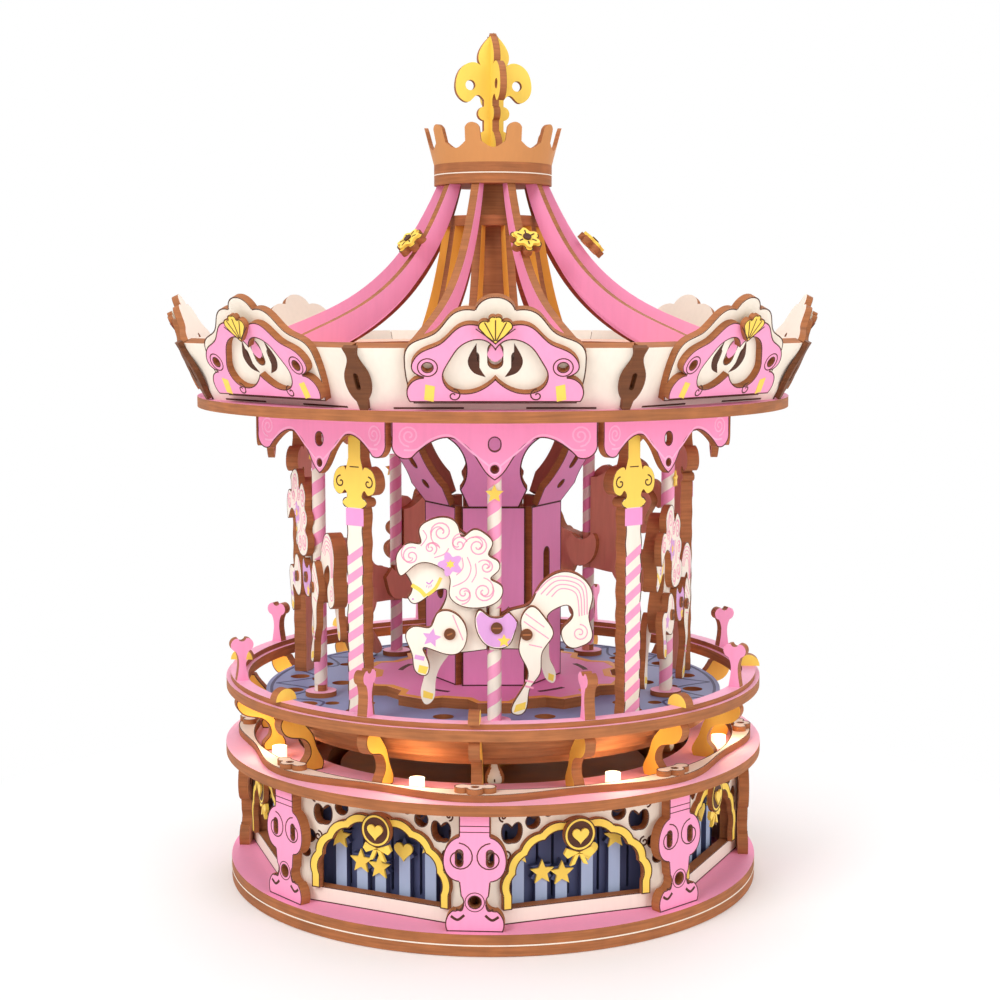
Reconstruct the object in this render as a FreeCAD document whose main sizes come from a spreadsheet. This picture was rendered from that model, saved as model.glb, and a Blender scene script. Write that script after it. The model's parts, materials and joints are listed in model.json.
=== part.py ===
"""Carousel music box of laser-cut plywood: a wind-up movement in an eight-sided drum turns a
platform with five horses under a ribbed roof. Millimetres, +Z up, the front faces -Y."""
import FreeCAD, Part
import math
import os
import Sketcher

V = FreeCAD.Vector

# Driving sizes. Heights stack from the base upwards, radii are from the axis of the carousel.
SIZES = {
    "ply": 3.0, "thin_ply": 2.0, "veneer": 1.5, "fit_gap": 0.1, "run_gap": 0.3,
    "sides": 8, "rest_turn": 4.0,
    "base_radius": 80.3, "drum_height": 32.5, "drum_apothem": 66.7,
    "window_width": 41.0, "window_height": 22.0, "window_sill": 4.5, "trim_width": 2.6, "trim_scallops": 9,
    "trim_swell": 0.8,
    "medallion_radius": 4.6, "pipe_width": 3.6, "pipe_count": 9, "pipe_depth": 3.2,
    "pilaster_width": 15.0, "pilaster_neck": 8.4,
    "deck_radius": 81.4, "deck_bore": 60.0, "deck_trim_radius": 76.5, "deck_trim_wave": 2.2,
    "deck_trim_bore": 72.8, "trefoil_lobe": 2.3,
    "rail_height": 17.0, "bracket_count": 16, "bracket_foot": 65.8, "bracket_foot_length": 5.9,
    "bracket_inset": 1.2,
    "rail_radius": 81.0, "rail_width": 6.5, "rail_cap_width": 4.0, "finial_height": 12.5, "knob_radius": 3.4,
    "lamp_radius": 2.1, "lamp_height": 3.6, "lamp_circle": 70.0, "lamp_turn": 9.0,
    "cam_radius": 54.0, "cam_wall": 6.0, "cam_lift": 12.0, "cam_lobes": 3, "cam_crest": 27.5,
    "board_radius": 47.0, "board_height": 23.0, "pillar_radius": 3.0, "pillar_circle": 43.0, "pillars": 4,
    "shaft_radius": 3.0, "bush_wall": 2.4, "bush_flange": 2.0,
    "plate_length": 56.0, "plate_width": 42.0, "plate_shift": 6.0, "plate_thick": 2.0, "screw_radius": 1.5,
    "gear_module": 0.75, "pinion_teeth": 16, "wheel_teeth": 32, "gear_height": 3.0, "gear_lift": 15.0,
    "barrel_radius": 10.0, "barrel_height": 9.0, "arbor_radius": 1.6,
    "key_well": 12.5, "key_span": 21.0, "key_thick": 2.2, "key_floor": 1.0,
    "cylinder_radius": 5.0, "cylinder_length": 22.0, "cylinder_offset": 15.5, "cylinder_axle": 1.2,
    "comb_tooth_count": 18, "comb_depth": 5.0, "comb_thick": 1.2,
    "fly_radius": 3.6, "fly_height": 8.0, "fly_offset": 20.5,
    "cell_radius": 5.2, "cell_length": 44.5, "box_wall": 1.4, "box_gap": 0.6,
    "switch_offset": 37.0, "switch_length": 13.0, "switch_depth": 6.5, "switch_height": 5.5,
    "slider_width": 3.0, "slider_travel": 3.0,
    "platform_drop": 8.0, "platform_radius": 69.2, "under_ring_radius": 66.5, "under_ring_bore": 58.5,
    "hub_radius": 62.0, "star_radius": 41.0, "star_valley": 36.5, "star_points": 10,
    "horse_count": 5, "horse_circle": 54.0, "pole_radius": 1.9, "pole_top": 126.0, "bush_radius": 4.6,
    "horse_layer": 2.0, "saddle_height": 84.5, "follower_radius": 2.7, "follower_tip": 38.6,
    "peg_radius": 1.6,
    "column_apothem": 16.4, "column_sides": 6, "column_height": 53.5, "capital_flare": 19.0,
    "post_circle": 63.0, "post_width": 5.4, "fleur_width": 15.0, "fleur_base": 117.0, "fleur_height": 17.0,
    "canopy_height": 83.0, "canopy_radius": 88.0,
    "valance_apothem": 66.0, "valance_drop": 16.5, "valance_end": 10.5,
    "board_foot": 77.0, "board_rise": 16.0, "board_tilt": 26.0,
    "crest_width": 46.0, "crest_height": 32.0, "shell_radius": 4.2, "batten_width": 6.6,
    "rim_bore": 52.0, "rim_gap": 0.5, "rim_rise": 11.5,
    "ribs": 10, "rib_thick": 2.4, "roof_rise": 61.5, "crown_radius": 17.5, "crown_height": 11.0,
    "crown_flare": 2.9,
    "crown_wall": 1.2, "crown_lobes": 10, "collar_drop": 9.0, "mast_radius": 4.6, "mast_top_radius": 3.0,
    "flower_radius": 4.4, "flower_height": 189.0, "flower_stand": 1.3,
    "finial_width": 23.0, "finial_height_top": 38.5, "finial_stem": 6.0,
}

doc = FreeCAD.newDocument("carousel_music_box")
sheet = doc.addObject("Spreadsheet::Sheet", "sizes")
for row, (alias, number) in enumerate(SIZES.items(), start=1):
    sheet.set("A%d" % row, alias)
    sheet.set("B%d" % row, str(number))
    sheet.setAlias("B%d" % row, alias)
doc.recompute()


class Size(float):
    """A number that keeps the sheet formula it comes from."""

    def __new__(cls, number, formula):
        size = float.__new__(cls, number)
        size.formula = formula
        return size

    def __add__(self, other):
        return Size(float(self) + float(other), "(%s + %s)" % (self.formula, formula_of(other)))

    def __sub__(self, other):
        return Size(float(self) - float(other), "(%s - %s)" % (self.formula, formula_of(other)))

    def __mul__(self, other):
        return Size(float(self) * float(other), "(%s * %s)" % (self.formula, formula_of(other)))

    def __truediv__(self, other):
        return Size(float(self) / float(other), "(%s / %s)" % (self.formula, formula_of(other)))


def formula_of(number):
    """The sheet formula of a size, or the plain number as text."""
    return number.formula if isinstance(number, Size) else repr(float(number))


def size(alias):
    """One driving size from the sheet."""
    return Size(float(sheet.get(alias)), "sizes." + alias)


def bind(thing, path, number):
    """Ties one property of an object to the sheet formula of a size."""
    thing.setExpression(path, formula_of(number))


def deg_sin(angle):
    return math.sin(math.radians(angle))


def deg_cos(angle):
    return math.cos(math.radians(angle))


def deg_tan(angle):
    return math.tan(math.radians(angle))


PLY = size("ply")
THIN = size("thin_ply")
VENEER = size("veneer")
FIT = size("fit_gap")
RUN = size("run_gap")
SIDES = size("sides")
HALF_SIDE = 180.0 / SIDES
TURN = size("rest_turn")

# Levels
BASE_TOP = PLY * 2
DECK = BASE_TOP + size("drum_height")
DECK_TOP = DECK + PLY
RAIL = DECK_TOP + size("rail_height")
RAIL_TOP = RAIL + PLY
PLATFORM_TOP = RAIL_TOP - size("platform_drop") + PLY
PLATFORM = PLATFORM_TOP - PLY
HUB_TOP = PLATFORM - PLY
STAR_TOP = PLATFORM_TOP + PLY
COLUMN_TOP = STAR_TOP + size("column_height")
CANOPY = STAR_TOP + size("canopy_height")
CANOPY_TOP = CANOPY + PLY
RIM = CANOPY_TOP + size("rim_rise")
RIM_TOP = RIM + PLY
CROWN = CANOPY_TOP + size("roof_rise")
CROWN_TOP = CROWN + PLY * 2
BEDPLATE_TOP = BASE_TOP + size("plate_thick")
BOARD = BASE_TOP + size("board_height")


# Outlines: a loop is a list of runs, and each run goes on from where the last one ended.
def loop(start, *runs):
    """Closed outline. A run of 1 point is a line, of 2 an arc, of more a smooth curve."""
    edges = []
    here = start
    for run in runs:
        points = [V(*here, 0)] + [V(*point, 0) for point in run]
        edges.append(edge_through(points))
        here = run[-1]
    if math.dist(here, start) > 1e-6:
        edges.append(Part.LineSegment(V(*here, 0), V(*start, 0)))
    return edges


def edge_through(points):
    if len(points) == 2:
        return Part.LineSegment(*points)
    if len(points) == 3:
        return Part.Arc(*points)
    curve = Part.BSplineCurve()
    curve.interpolate(points)
    return curve


def polygon(points):
    return loop(points[0], *[[point] for point in points[1:]])


def mirrored(start, *runs):
    """Outline that is the same left and right: the runs give its right side, from bottom to top."""
    stops = [start] + [run[-1] for run in runs]
    back = []
    for index in range(len(runs) - 1, -1, -1):
        back.append([flip(p) for p in reversed(runs[index][:-1])] + [flip(stops[index])])
    bridge = [] if stops[-1][0] == 0 else [[flip(stops[-1])]]
    return loop(start, *runs, *bridge, *back)


def flip(point):
    return (-point[0], point[1])


def blob(points):
    """Closed smooth outline through the points."""
    curve = Part.BSplineCurve()
    curve.interpolate([V(*point, 0) for point in points], PeriodicFlag=True)
    return [curve]


def round_hole(x, y, radius):
    return [Part.Circle(V(x, y, 0), V(0, 0, 1), float(radius))]


def slot(x, y, width, height):
    """Upright slot with round ends."""
    half, straight = width / 2, height / 2 - width / 2
    return loop((x + half, y - straight), [(x + half, y + straight)],
                [(x, y + straight + half), (x - half, y + straight)], [(x - half, y - straight)],
                [(x, y - straight - half), (x + half, y - straight)])


def star(x, y, outer, inner, points):
    step = 180.0 / points
    return polygon([(x + (outer, inner)[k % 2] * deg_sin(k * step),
                     y + (outer, inner)[k % 2] * deg_cos(k * step))
                    for k in range(int(2 * points))])


def wave_ring(radius, wave, waves, samples=4):
    """Round outline whose radius swells and shrinks, from a formula."""
    count = int(waves) * samples
    return blob([((radius + wave * deg_cos(360.0 * waves * k / count)) * deg_sin(360.0 * k / count),
                  -(radius + wave * deg_cos(360.0 * waves * k / count)) * deg_cos(360.0 * k / count))
                 for k in range(count)])


# Bodies
def new_body(label, turn=0.0):
    body = doc.addObject("PartDesign::Body", label)
    body.Label = label
    body.AllowCompound = True
    if turn:
        body.Placement = FreeCAD.Placement(V(0, 0, 0), FreeCAD.Rotation(V(0, 0, 1), float(turn)))
    return body


def origin_of(body, role):
    return [item for item in body.Origin.OriginFeatures if item.Role == role][0]


def add_sketch(body, plane, loops, out=0.0, lift=0.0, tilt=0.0):
    """Sketch on one of the body's own planes: out along its normal, lifted and tilted outwards."""
    sketch = body.newObject("Sketcher::SketchObject", body.Label + "_outline")
    sketch.AttachmentSupport = [(origin_of(body, plane), "")]
    sketch.MapMode = "FlatFace"
    sketch.AttachmentOffset = FreeCAD.Placement(V(0, 0, 0), FreeCAD.Rotation(V(1, 0, 0), float(tilt)))
    bind(sketch, "AttachmentOffset.Base.z", out)
    bind(sketch, "AttachmentOffset.Base.y", lift)
    for edges in loops:
        for edge in edges:
            sketch.addGeometry(edge, False)
    return sketch


def add_ring(body, radius, bore=None, out=0.0, holes=()):
    """Round outline about the axis, with its radii held by the sheet."""
    sketch = add_sketch(body, "XY_Plane", list(holes), out=out)
    for value in [radius] + ([bore] if bore else []):
        index = sketch.addGeometry(Part.Circle(V(0, 0, 0), V(0, 0, 1), float(value)), False)
        sketch.addConstraint(Sketcher.Constraint("Coincident", index, 3, -1, 1))
        held = sketch.addConstraint(Sketcher.Constraint("Radius", index, float(value)))
        bind(sketch, "Constraints[%d]" % held, value)
    return sketch


def pad(body, sketch, thickness, both_ways=False):
    feature = body.newObject("PartDesign::Pad", body.Label + "_pad")
    feature.Profile = sketch
    feature.SideType = "Symmetric" if both_ways else "One side"
    bind(feature, "Length", thickness)
    body.Tip = feature
    return feature


def cut(body, sketch, depth, reverse=False):
    feature = body.newObject("PartDesign::Pocket", body.Label + "_cut")
    feature.Profile = sketch
    feature.Reversed = reverse
    bind(feature, "Length", depth)
    body.Tip = feature
    return feature


def turn_profile(body, loops):
    """Solid of revolution of a radius-height outline."""
    sketch = add_sketch(body, "XZ_Plane", loops)
    feature = body.newObject("PartDesign::Revolution", body.Label + "_turned")
    feature.Profile = sketch
    feature.ReferenceAxis = (origin_of(body, "Z_Axis"), [""])
    feature.Angle = 360.0
    body.Tip = feature
    return feature


def repeat(body, features, count):
    feature = body.newObject("PartDesign::PolarPattern", body.Label + "_ring")
    feature.Originals = features
    feature.Axis = (origin_of(body, "Z_Axis"), [""])
    feature.Angle = 360.0
    bind(feature, "Occurrences", count)
    body.Tip = feature
    return feature


def disc(label, radius, low, thickness, bore=None, holes=(), turn=0.0):
    body = new_body(label, turn)
    pad(body, add_ring(body, radius, bore, low, holes), thickness)
    return body


def plates(label, loops, out, thickness, count, turn=0.0, lift=0.0, tilt=0.0):
    """Plates that face outwards, the first one to the front, repeated round the axis."""
    body = new_body(label, turn)
    feature = pad(body, add_sketch(body, "XZ_Plane", loops, out, lift, tilt), thickness)
    repeat(body, [feature], count)
    return body


def fins(label, loops, thickness, count, turn=0.0):
    """Radial plates, the first one to the right, repeated round the axis."""
    body = new_body(label, turn)
    feature = pad(body, add_sketch(body, "XZ_Plane", loops), thickness, both_ways=True)
    repeat(body, [feature], count)
    return body


def group(label, members, spot=None):
    """Several solids that make one node."""
    compound = doc.addObject("Part::Compound", label)
    compound.Label = label
    compound.Links = members
    if spot:
        compound.Placement = spot
    return compound


nodes = []

# Base discs with the well for the key
gear_distance = size("gear_module") * (size("pinion_teeth") + size("wheel_teeth")) / 2
key_well = round_hole(-gear_distance, 0, size("key_well"))
nodes.append(disc("base_disc_lower", size("base_radius"), Size(0, "0"), PLY, holes=[key_well]))
nodes.append(disc("base_disc_upper", size("base_radius"), PLY, PLY, holes=[key_well]))

# Drum: panels with an arched window and pierced corners
drum_apothem = size("drum_apothem")
panel_half = float(drum_apothem) * deg_tan(HALF_SIDE) - FIT
window_half = size("window_width") / 2
sill = BASE_TOP + size("window_sill")
window_top = sill + size("window_height")
drum_top = float(DECK)


def arch(half, low, high):
    """Window outline: straight foot, then one round arch."""
    spring = low + (high - low) * 0.18
    shoulder = (half * 0.74, low + (high - low) * 0.76)
    return mirrored((half, low), [(half, spring)], [shoulder, (half * 0.4, low + (high - low) * 0.95),
                                                    (0, high)])


def corner_holes(side):
    """Heart and scroll piercings of one upper corner."""
    x, y = side * (panel_half - 9.0), drum_top - 7.2
    heart = loop((x, y - 2.6), [(x + 2.8, y + 0.6), (x + 2.2, y + 2.4), (x, y + 1.2)],
                 [(x - 2.2, y + 2.4), (x - 2.8, y + 0.6), (x, y - 2.6)])
    return [heart, round_hole(x - side * 6.0, y + 2.6, 1.9), round_hole(x + side * 4.4, y - 6.6, 1.7),
            round_hole(x + side * 5.6, y - 11.4, 1.2), round_hole(x - side * 10.4, y + 4.6, 0.9)]


panel = polygon([(-panel_half, float(BASE_TOP)), (panel_half, float(BASE_TOP)),
                 (panel_half, drum_top), (-panel_half, drum_top)])
nodes.append(plates("drum_panels", [panel, arch(window_half, sill,
                                                window_top)] + corner_holes(1) + corner_holes(-1),
                    drum_apothem, PLY, SIDES, turn=HALF_SIDE))

# Gilt arch trims with a plain ring medallion
trim = size("trim_width")
medallion = size("medallion_radius")
trim_body = new_body("trim_arches")
arch_half, arch_in = window_half + trim * 0.4, window_half - trim * 0.6
spring_y = sill + (window_top - sill) * 0.18


def scalloped(half, high, way):
    """Row of small arcs over the window, from the right spring to the left one or back."""
    count = int(size("trim_scallops"))
    swell = size("trim_swell")
    runs = []
    for k in range(count):
        at = (k, k + 0.5, k + 1) if way > 0 else (count - k, count - k - 0.5, count - k - 1)
        middle, end = 180.0 * at[1] / count, 180.0 * at[2] / count
        runs.append([((half + swell) * deg_cos(middle),
                      spring_y + (high + swell - spring_y) * deg_sin(middle)),
                     (half * deg_cos(end), spring_y + (high - spring_y) * deg_sin(end))])
    return runs


def trim_outline():
    """Scalloped band along the arch, open at the sill."""
    high, low = window_top + trim * 0.4, window_top - trim * 0.6
    return loop((arch_half, sill), [(arch_half, spring_y)], *scalloped(arch_half, high, 1),
                [(-arch_half, sill)], [(-arch_in, sill)], [(-arch_in, spring_y)],
                *scalloped(arch_in, low, -1), [(arch_in, sill)])


trim_face = drum_apothem + PLY
pad(trim_body, add_sketch(trim_body, "XZ_Plane", [trim_outline()], trim_face), VENEER)
repeat(trim_body, [trim_body.Tip], SIDES)
medal_body = plates("trim_medallions", [round_hole(0, window_top - trim, medallion)],
                    trim_face + VENEER, VENEER, SIDES)
nodes.append(group("window_trims", [trim_body, medal_body],
                   FreeCAD.Placement(V(0, 0, 0), FreeCAD.Rotation(V(0, 0, 1), HALF_SIDE))))

# Organ front behind each window: a fluted backing and pipes with gilt tops
pipe_width = size("pipe_width")
organ_half = window_half + pipe_width / 2
organ_high = window_top + pipe_width / 2
organ_face = drum_apothem - size("pipe_depth") - THIN
flutes = [slot((k - (size("pipe_count") - 1) / 2) * pipe_width * 1.25, (BASE_TOP + organ_high) / 2,
               pipe_width * 0.22, (organ_high - BASE_TOP) * 0.7) for k in range(int(size("pipe_count")))]
organ_back = plates("organ_backs", [polygon([(-organ_half, BASE_TOP), (organ_half, BASE_TOP),
                                             (organ_half, organ_high), (-organ_half, organ_high)])] + flutes,
                    organ_face, THIN, SIDES)


def pipe_outline(x, high):
    """One pipe with a star on its top."""
    half, reach = pipe_width / 2, pipe_width * 0.85
    tip = high + reach * 2
    return mirrored_at(x, (half, BASE_TOP), [(half, high)], [(reach, high + reach * 0.3)],
                       [(half * 0.8, high + reach * 0.9)], [(reach, high + reach * 1.4)],
                       [(half * 0.5, high + reach * 1.4)], [(0, tip)])


def mirrored_at(x, start, *runs):
    """A left-right outline moved sideways."""
    edges = mirrored(start, *runs)
    for edge in edges:
        edge.translate(V(x, 0, 0))
    return edges


pipe_rows = [(-3.4, 0.52), (-1.9, 0.24), (-0.6, 0.2), (1.1, 0.46), (2.9, 0.6)]
pipe_loops = [pipe_outline(place * pipe_width * 1.25, sill + share * size("window_height"))
              for place, share in pipe_rows]
organ_pipes = plates("organ_front_pipes", pipe_loops, organ_face + THIN, THIN, SIDES)
nodes.append(group("organ_pipes", [organ_back, organ_pipes],
                   FreeCAD.Placement(V(0, 0, 0), FreeCAD.Rotation(V(0, 0, 1), HALF_SIDE))))

# Pilasters over the corners of the drum
corner_radius = (float(drum_apothem) + PLY) * deg_cos(HALF_SIDE) + panel_half * deg_sin(HALF_SIDE)
wide, neck = size("pilaster_width") / 2, size("pilaster_neck") / 2
foot_y = float(BASE_TOP)
high_y = drum_top
span_y = high_y - foot_y
pilaster = mirrored((wide, foot_y), [(wide * 1.05, foot_y + span_y * 0.09),
                                     (wide * 0.8, foot_y + span_y * 0.18)],
                    [(wide * 0.5, foot_y + span_y * 0.2), (neck * 0.9, foot_y + span_y * 0.3)],
                    [(neck, foot_y + span_y * 0.42)],
                    [(wide, foot_y + span_y * 0.48), (wide, foot_y + span_y * 0.72),
                     (neck, foot_y + span_y * 0.8)],
                    [(neck, high_y)])
eyes = [slot(side * wide * 0.55, foot_y + span_y * 0.62, 1.7, 4.4) for side in (-1, 1)]
nodes.append(plates("pilasters", [pilaster, round_hole(0, foot_y + span_y * 0.25, 1.6)] + eyes,
                    corner_radius + FIT, PLY, SIDES))

# Deck, its trim with trefoils, and the lamps
nodes.append(disc("mid_deck", size("deck_radius"), DECK, PLY, bore=size("deck_bore")))
trim_ring = new_body("deck_trim")
deck_trim_bore = size("deck_trim_bore")
deck_trim_radius = size("deck_trim_radius")
trim_wave = wave_ring(deck_trim_radius, size("deck_trim_wave"), SIDES, samples=6)
pad(trim_ring, add_sketch(trim_ring, "XY_Plane", [trim_wave, round_hole(0, 0, deck_trim_bore)],
                          DECK_TOP), THIN)
lobe = size("trefoil_lobe")
trefoil_spot = deck_trim_radius - lobe * 0.3
trefoils = new_body("deck_trefoils")
trefoil = loop((-lobe, -trefoil_spot + lobe), [(-lobe * 2.4, -trefoil_spot + lobe * 0.6),
                                               (-lobe, -trefoil_spot - lobe * 0.4)],
               [(0, -trefoil_spot - lobe * 1.3), (lobe, -trefoil_spot - lobe * 0.4)],
               [(lobe * 2.4, -trefoil_spot + lobe * 0.6), (lobe, -trefoil_spot + lobe)])
pad(trefoils, add_sketch(trefoils, "XY_Plane", [trefoil, round_hole(0, -trefoil_spot, lobe * 0.35)],
                         DECK_TOP + THIN), VENEER)
repeat(trefoils, [trefoils.Tip], SIDES)
nodes.append(group("deck_trim_ring", [trim_ring, trefoils]))
lamps = new_body("lamps", HALF_SIDE + size("lamp_turn"))
pad(lamps, add_sketch(lamps, "XY_Plane", [round_hole(0, -size("lamp_circle"), size("lamp_radius"))],
                      DECK_TOP),
    size("lamp_height"))
repeat(lamps, [lamps.Tip], SIDES)
nodes.append(lamps)

# Scroll brackets that carry the rail
foot_r = float(size("bracket_foot"))
foot_end = foot_r + size("bracket_foot_length")
top_r = float(size("rail_radius")) - size("bracket_inset")
low_z, high_z = float(DECK_TOP), float(RAIL)
tall = high_z - low_z
bracket = loop((foot_r, low_z), [(foot_end - 0.3, low_z)],
               [(foot_end, low_z + 2.4), (foot_end - 1.7, low_z + tall * 0.26),
                (foot_end - 0.5, low_z + tall * 0.52),
                (top_r - 2.0, low_z + tall * 0.66), (top_r, high_z - 2.6), (top_r - 1.6, high_z)],
               [(top_r - 6.0, high_z)],
               [(top_r - 7.6, high_z - 2.4), (foot_r + 3.0, low_z + tall * 0.62),
                (foot_r + 1.2, low_z + tall * 0.34),
                (foot_r - 0.6, low_z + 2.2), (foot_r, low_z)])
nodes.append(fins("scroll_brackets", [bracket], PLY, size("bracket_count")))

# Rail of two rings with finials and knobs
rail_radius = size("rail_radius")
rail_bore = rail_radius - size("rail_width")
rail_mid = rail_radius - size("rail_width") / 2
cap_half = size("rail_cap_width") / 2
rail_lower = disc("rail_lower", rail_radius, RAIL, PLY, bore=rail_bore)
rail_upper = disc("rail_upper", rail_mid + cap_half, RAIL_TOP, VENEER, bore=rail_mid - cap_half)
nodes.append(group("rail_rings", [rail_lower, rail_upper]))
rail_cap = float(RAIL_TOP + VENEER)
bone_top = rail_cap + size("finial_height")
mid_r = float(rail_mid)
bone = loop((mid_r - 1.7, rail_cap), [(mid_r + 1.7, rail_cap)],
            [(mid_r + 1.2, rail_cap + 3.0), (mid_r + 1.1, bone_top - 6.0), (mid_r + 1.9, bone_top - 3.8)],
            [(mid_r + 3.3, bone_top - 1.6), (mid_r + 1.2, bone_top)],
            [(mid_r, bone_top - 0.9), (mid_r - 1.2, bone_top)],
            [(mid_r - 3.3, bone_top - 1.6), (mid_r - 1.9, bone_top - 3.8)],
            [(mid_r - 1.1, bone_top - 6.0), (mid_r - 1.2, rail_cap + 3.0), (mid_r - 1.7, rail_cap)])
rail_finials = fins("rail_finials", [bone], PLY, SIDES, turn=HALF_SIDE)
nodes.append(rail_finials)
knob = size("knob_radius")
half_round = loop((mid_r + knob, rail_cap), [(mid_r, rail_cap + knob), (mid_r - knob, rail_cap)])
nodes.append(fins("rail_knobs", [half_round], PLY, SIDES))

# Cam track: a wall with three low stretches that stands under the followers of the horses
cam_radius, cam_half = size("cam_radius"), size("cam_wall") / 2
cam_top = BASE_TOP + size("cam_crest")
cam_body = new_body("cam_ring")
pad(cam_body, add_ring(cam_body, cam_radius + cam_half, cam_radius - cam_half, BASE_TOP), size("cam_crest"))
trough_half = float(cam_radius) * deg_sin(180.0 / size("cam_lobes"))
trough_low = float(cam_top - size("cam_lift"))
trough_mid = (trough_low + cam_top) / 2
trough = loop((-trough_half, cam_top), [(-trough_half * 0.82, cam_top - (cam_top - trough_low) * 0.12),
                                        (-trough_half * 0.5, trough_mid),
                                        (-trough_half * 0.22, trough_low + 0.8),
                                        (0, trough_low), (trough_half * 0.22, trough_low + 0.8),
                                        (trough_half * 0.5, trough_mid),
                                        (trough_half * 0.82, cam_top - (cam_top - trough_low) * 0.12),
                                        (trough_half, cam_top)], [(trough_half, cam_top + PLY)],
              [(-trough_half, cam_top + PLY)])
wave = cut(cam_body, add_sketch(cam_body, "XZ_Plane", [trough]), cam_radius + cam_half + PLY, reverse=True)
repeat(cam_body, [wave], size("cam_lobes"))
nodes.append(cam_body)

# Board on pillars with the bearing of the turntable
shaft = size("shaft_radius")
bush = shaft + FIT + size("bush_wall")
nodes.append(disc("bearing_board", size("board_radius"), BOARD, PLY, bore=bush))
pillars = new_body("board_pillars", HALF_SIDE * 2)
pad(pillars, add_sketch(pillars, "XY_Plane", [round_hole(0, -size("pillar_circle"), size("pillar_radius"))],
                        BASE_TOP),
    size("board_height"))
repeat(pillars, [pillars.Tip], size("pillars"))
nodes.append(pillars)
bearing = new_body("centre_bearing")
flange = bush + size("bush_flange")
turn_profile(bearing, [polygon([(shaft + FIT, BOARD), (bush, BOARD), (bush, BOARD + PLY),
                                (flange, BOARD + PLY),
                                (flange, BOARD + PLY + VENEER), (shaft + FIT, BOARD + PLY + VENEER)])])
nodes.append(bearing)

# Movement: bedplate with bearing cheeks, spring barrel, comb, cylinder, governor and key
plate_x, plate_y = size("plate_length") / 2, size("plate_width") / 2
bed_y = size("plate_shift")
arbor = size("arbor_radius")
screw = size("screw_radius")
screw_spots = [(sx * (plate_x - screw * 2), bed_y + sy * (plate_y - screw * 2)) for sx in (-1,
                                                                                           1) for sy in (-1,
                                                                                                         1)]
bed_x = -gear_distance / 2
bedplate = new_body("movement_bedplate")
bed_outline = polygon([(bed_x - plate_x, bed_y - plate_y), (bed_x + plate_x, bed_y - plate_y),
                       (bed_x + plate_x, bed_y + plate_y), (bed_x - plate_x, bed_y + plate_y)])
bed_holes = [round_hole(bed_x + x, y, screw + FIT) for x, y in screw_spots]
pad(bedplate, add_sketch(bedplate, "XY_Plane",
                         [bed_outline, round_hole(-gear_distance, 0, arbor + FIT)] + bed_holes, BASE_TOP),
    size("plate_thick"))
cylinder_y = size("cylinder_offset")
cylinder_half = size("cylinder_length") / 2
axle = size("cylinder_axle")
axle_z = float(BEDPLATE_TOP) + size("cylinder_radius") + RUN * 2
cheek_half = size("cylinder_radius") * 0.6
cheek_gap = cylinder_half + RUN
cheek_thick = float(THIN)
for side in (-1, 1):
    near = bed_x + side * cheek_gap
    far = near + side * cheek_thick
    cheek = polygon([(near, cylinder_y - cheek_half), (far, cylinder_y - cheek_half),
                     (far, cylinder_y + cheek_half), (near, cylinder_y + cheek_half)])
    pad(bedplate, add_sketch(bedplate, "XY_Plane", [cheek], BEDPLATE_TOP), size("cylinder_radius") * 2)
axle_bore = add_sketch(bedplate, "YZ_Plane", [round_hole(cylinder_y, axle_z, axle + FIT)])
bore = cut(bedplate, axle_bore, size("plate_length") * 3)
bore.SideType = "Symmetric"
nodes.append(bedplate)
screws = new_body("movement_screws")
for x, y in screw_spots:
    pad(screws, add_sketch(screws, "XY_Plane", [round_hole(bed_x + x, y, screw)], BASE_TOP),
        size("plate_thick"))
    pad(screws, add_sketch(screws, "XY_Plane", [round_hole(bed_x + x, y, screw * 1.8)], BEDPLATE_TOP), VENEER)
nodes.append(screws)
barrel = new_body("spring_barrel")
barrel_top = BEDPLATE_TOP + size("barrel_height")
turn_barrel = add_sketch(barrel, "XY_Plane", [round_hole(-gear_distance, 0, size("barrel_radius")),
                                              round_hole(-gear_distance, 0, arbor + FIT)], BEDPLATE_TOP)
pad(barrel, turn_barrel, size("barrel_height"))
nodes.append(barrel)


def gear(teeth, module, phase):
    """Wheel outline with straight-sided teeth and room to run."""
    points = []
    pitch = 360.0 / teeth
    radius = teeth * module / 2
    for k in range(int(teeth)):
        middle = phase + k * pitch
        for share, reach in ((-0.3, -1.15), (-0.13, 0.75), (0.13, 0.75), (0.3, -1.15)):
            at = middle + share * pitch
            points.append(((radius + reach * module) * deg_cos(at), (radius + reach * module) * deg_sin(at)))
    return polygon(points)


module = size("gear_module")
gear_low = BASE_TOP + size("gear_lift")
wheel = new_body("great_wheel")
wheel_outline = gear(size("wheel_teeth"), module, 0.0)
for edge in wheel_outline:
    edge.translate(V(-gear_distance, 0, 0))
pad(wheel, add_sketch(wheel, "XY_Plane", [wheel_outline, round_hole(-gear_distance, 0, arbor + FIT)],
                      gear_low),
    size("gear_height"))
nodes.append(wheel)
key = new_body("winding_key")
key_low = size("key_floor")
key_half = size("key_span") / 2
wings = loop((-gear_distance + 2.2, -1.5), [(-gear_distance + key_half * 0.6, -4.2),
                                            (-gear_distance + key_half, 0),
                                            (-gear_distance + key_half * 0.6, 4.2),
                                            (-gear_distance + 2.2, 1.5)],
             [(-gear_distance - 2.2, 1.5)],
             [(-gear_distance - key_half * 0.6, 4.2), (-gear_distance - key_half, 0),
              (-gear_distance - key_half * 0.6, -4.2), (-gear_distance - 2.2, -1.5)])
pad(key, add_sketch(key, "XY_Plane", [wings], key_low), size("key_thick"))
pad(key, add_sketch(key, "XY_Plane", [round_hole(-gear_distance, 0, arbor)], key_low + size("key_thick")),
    gear_low + size("gear_height") + VENEER - key_low - size("key_thick"))
nodes.append(key)
cylinder = new_body("music_cylinder")
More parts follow.
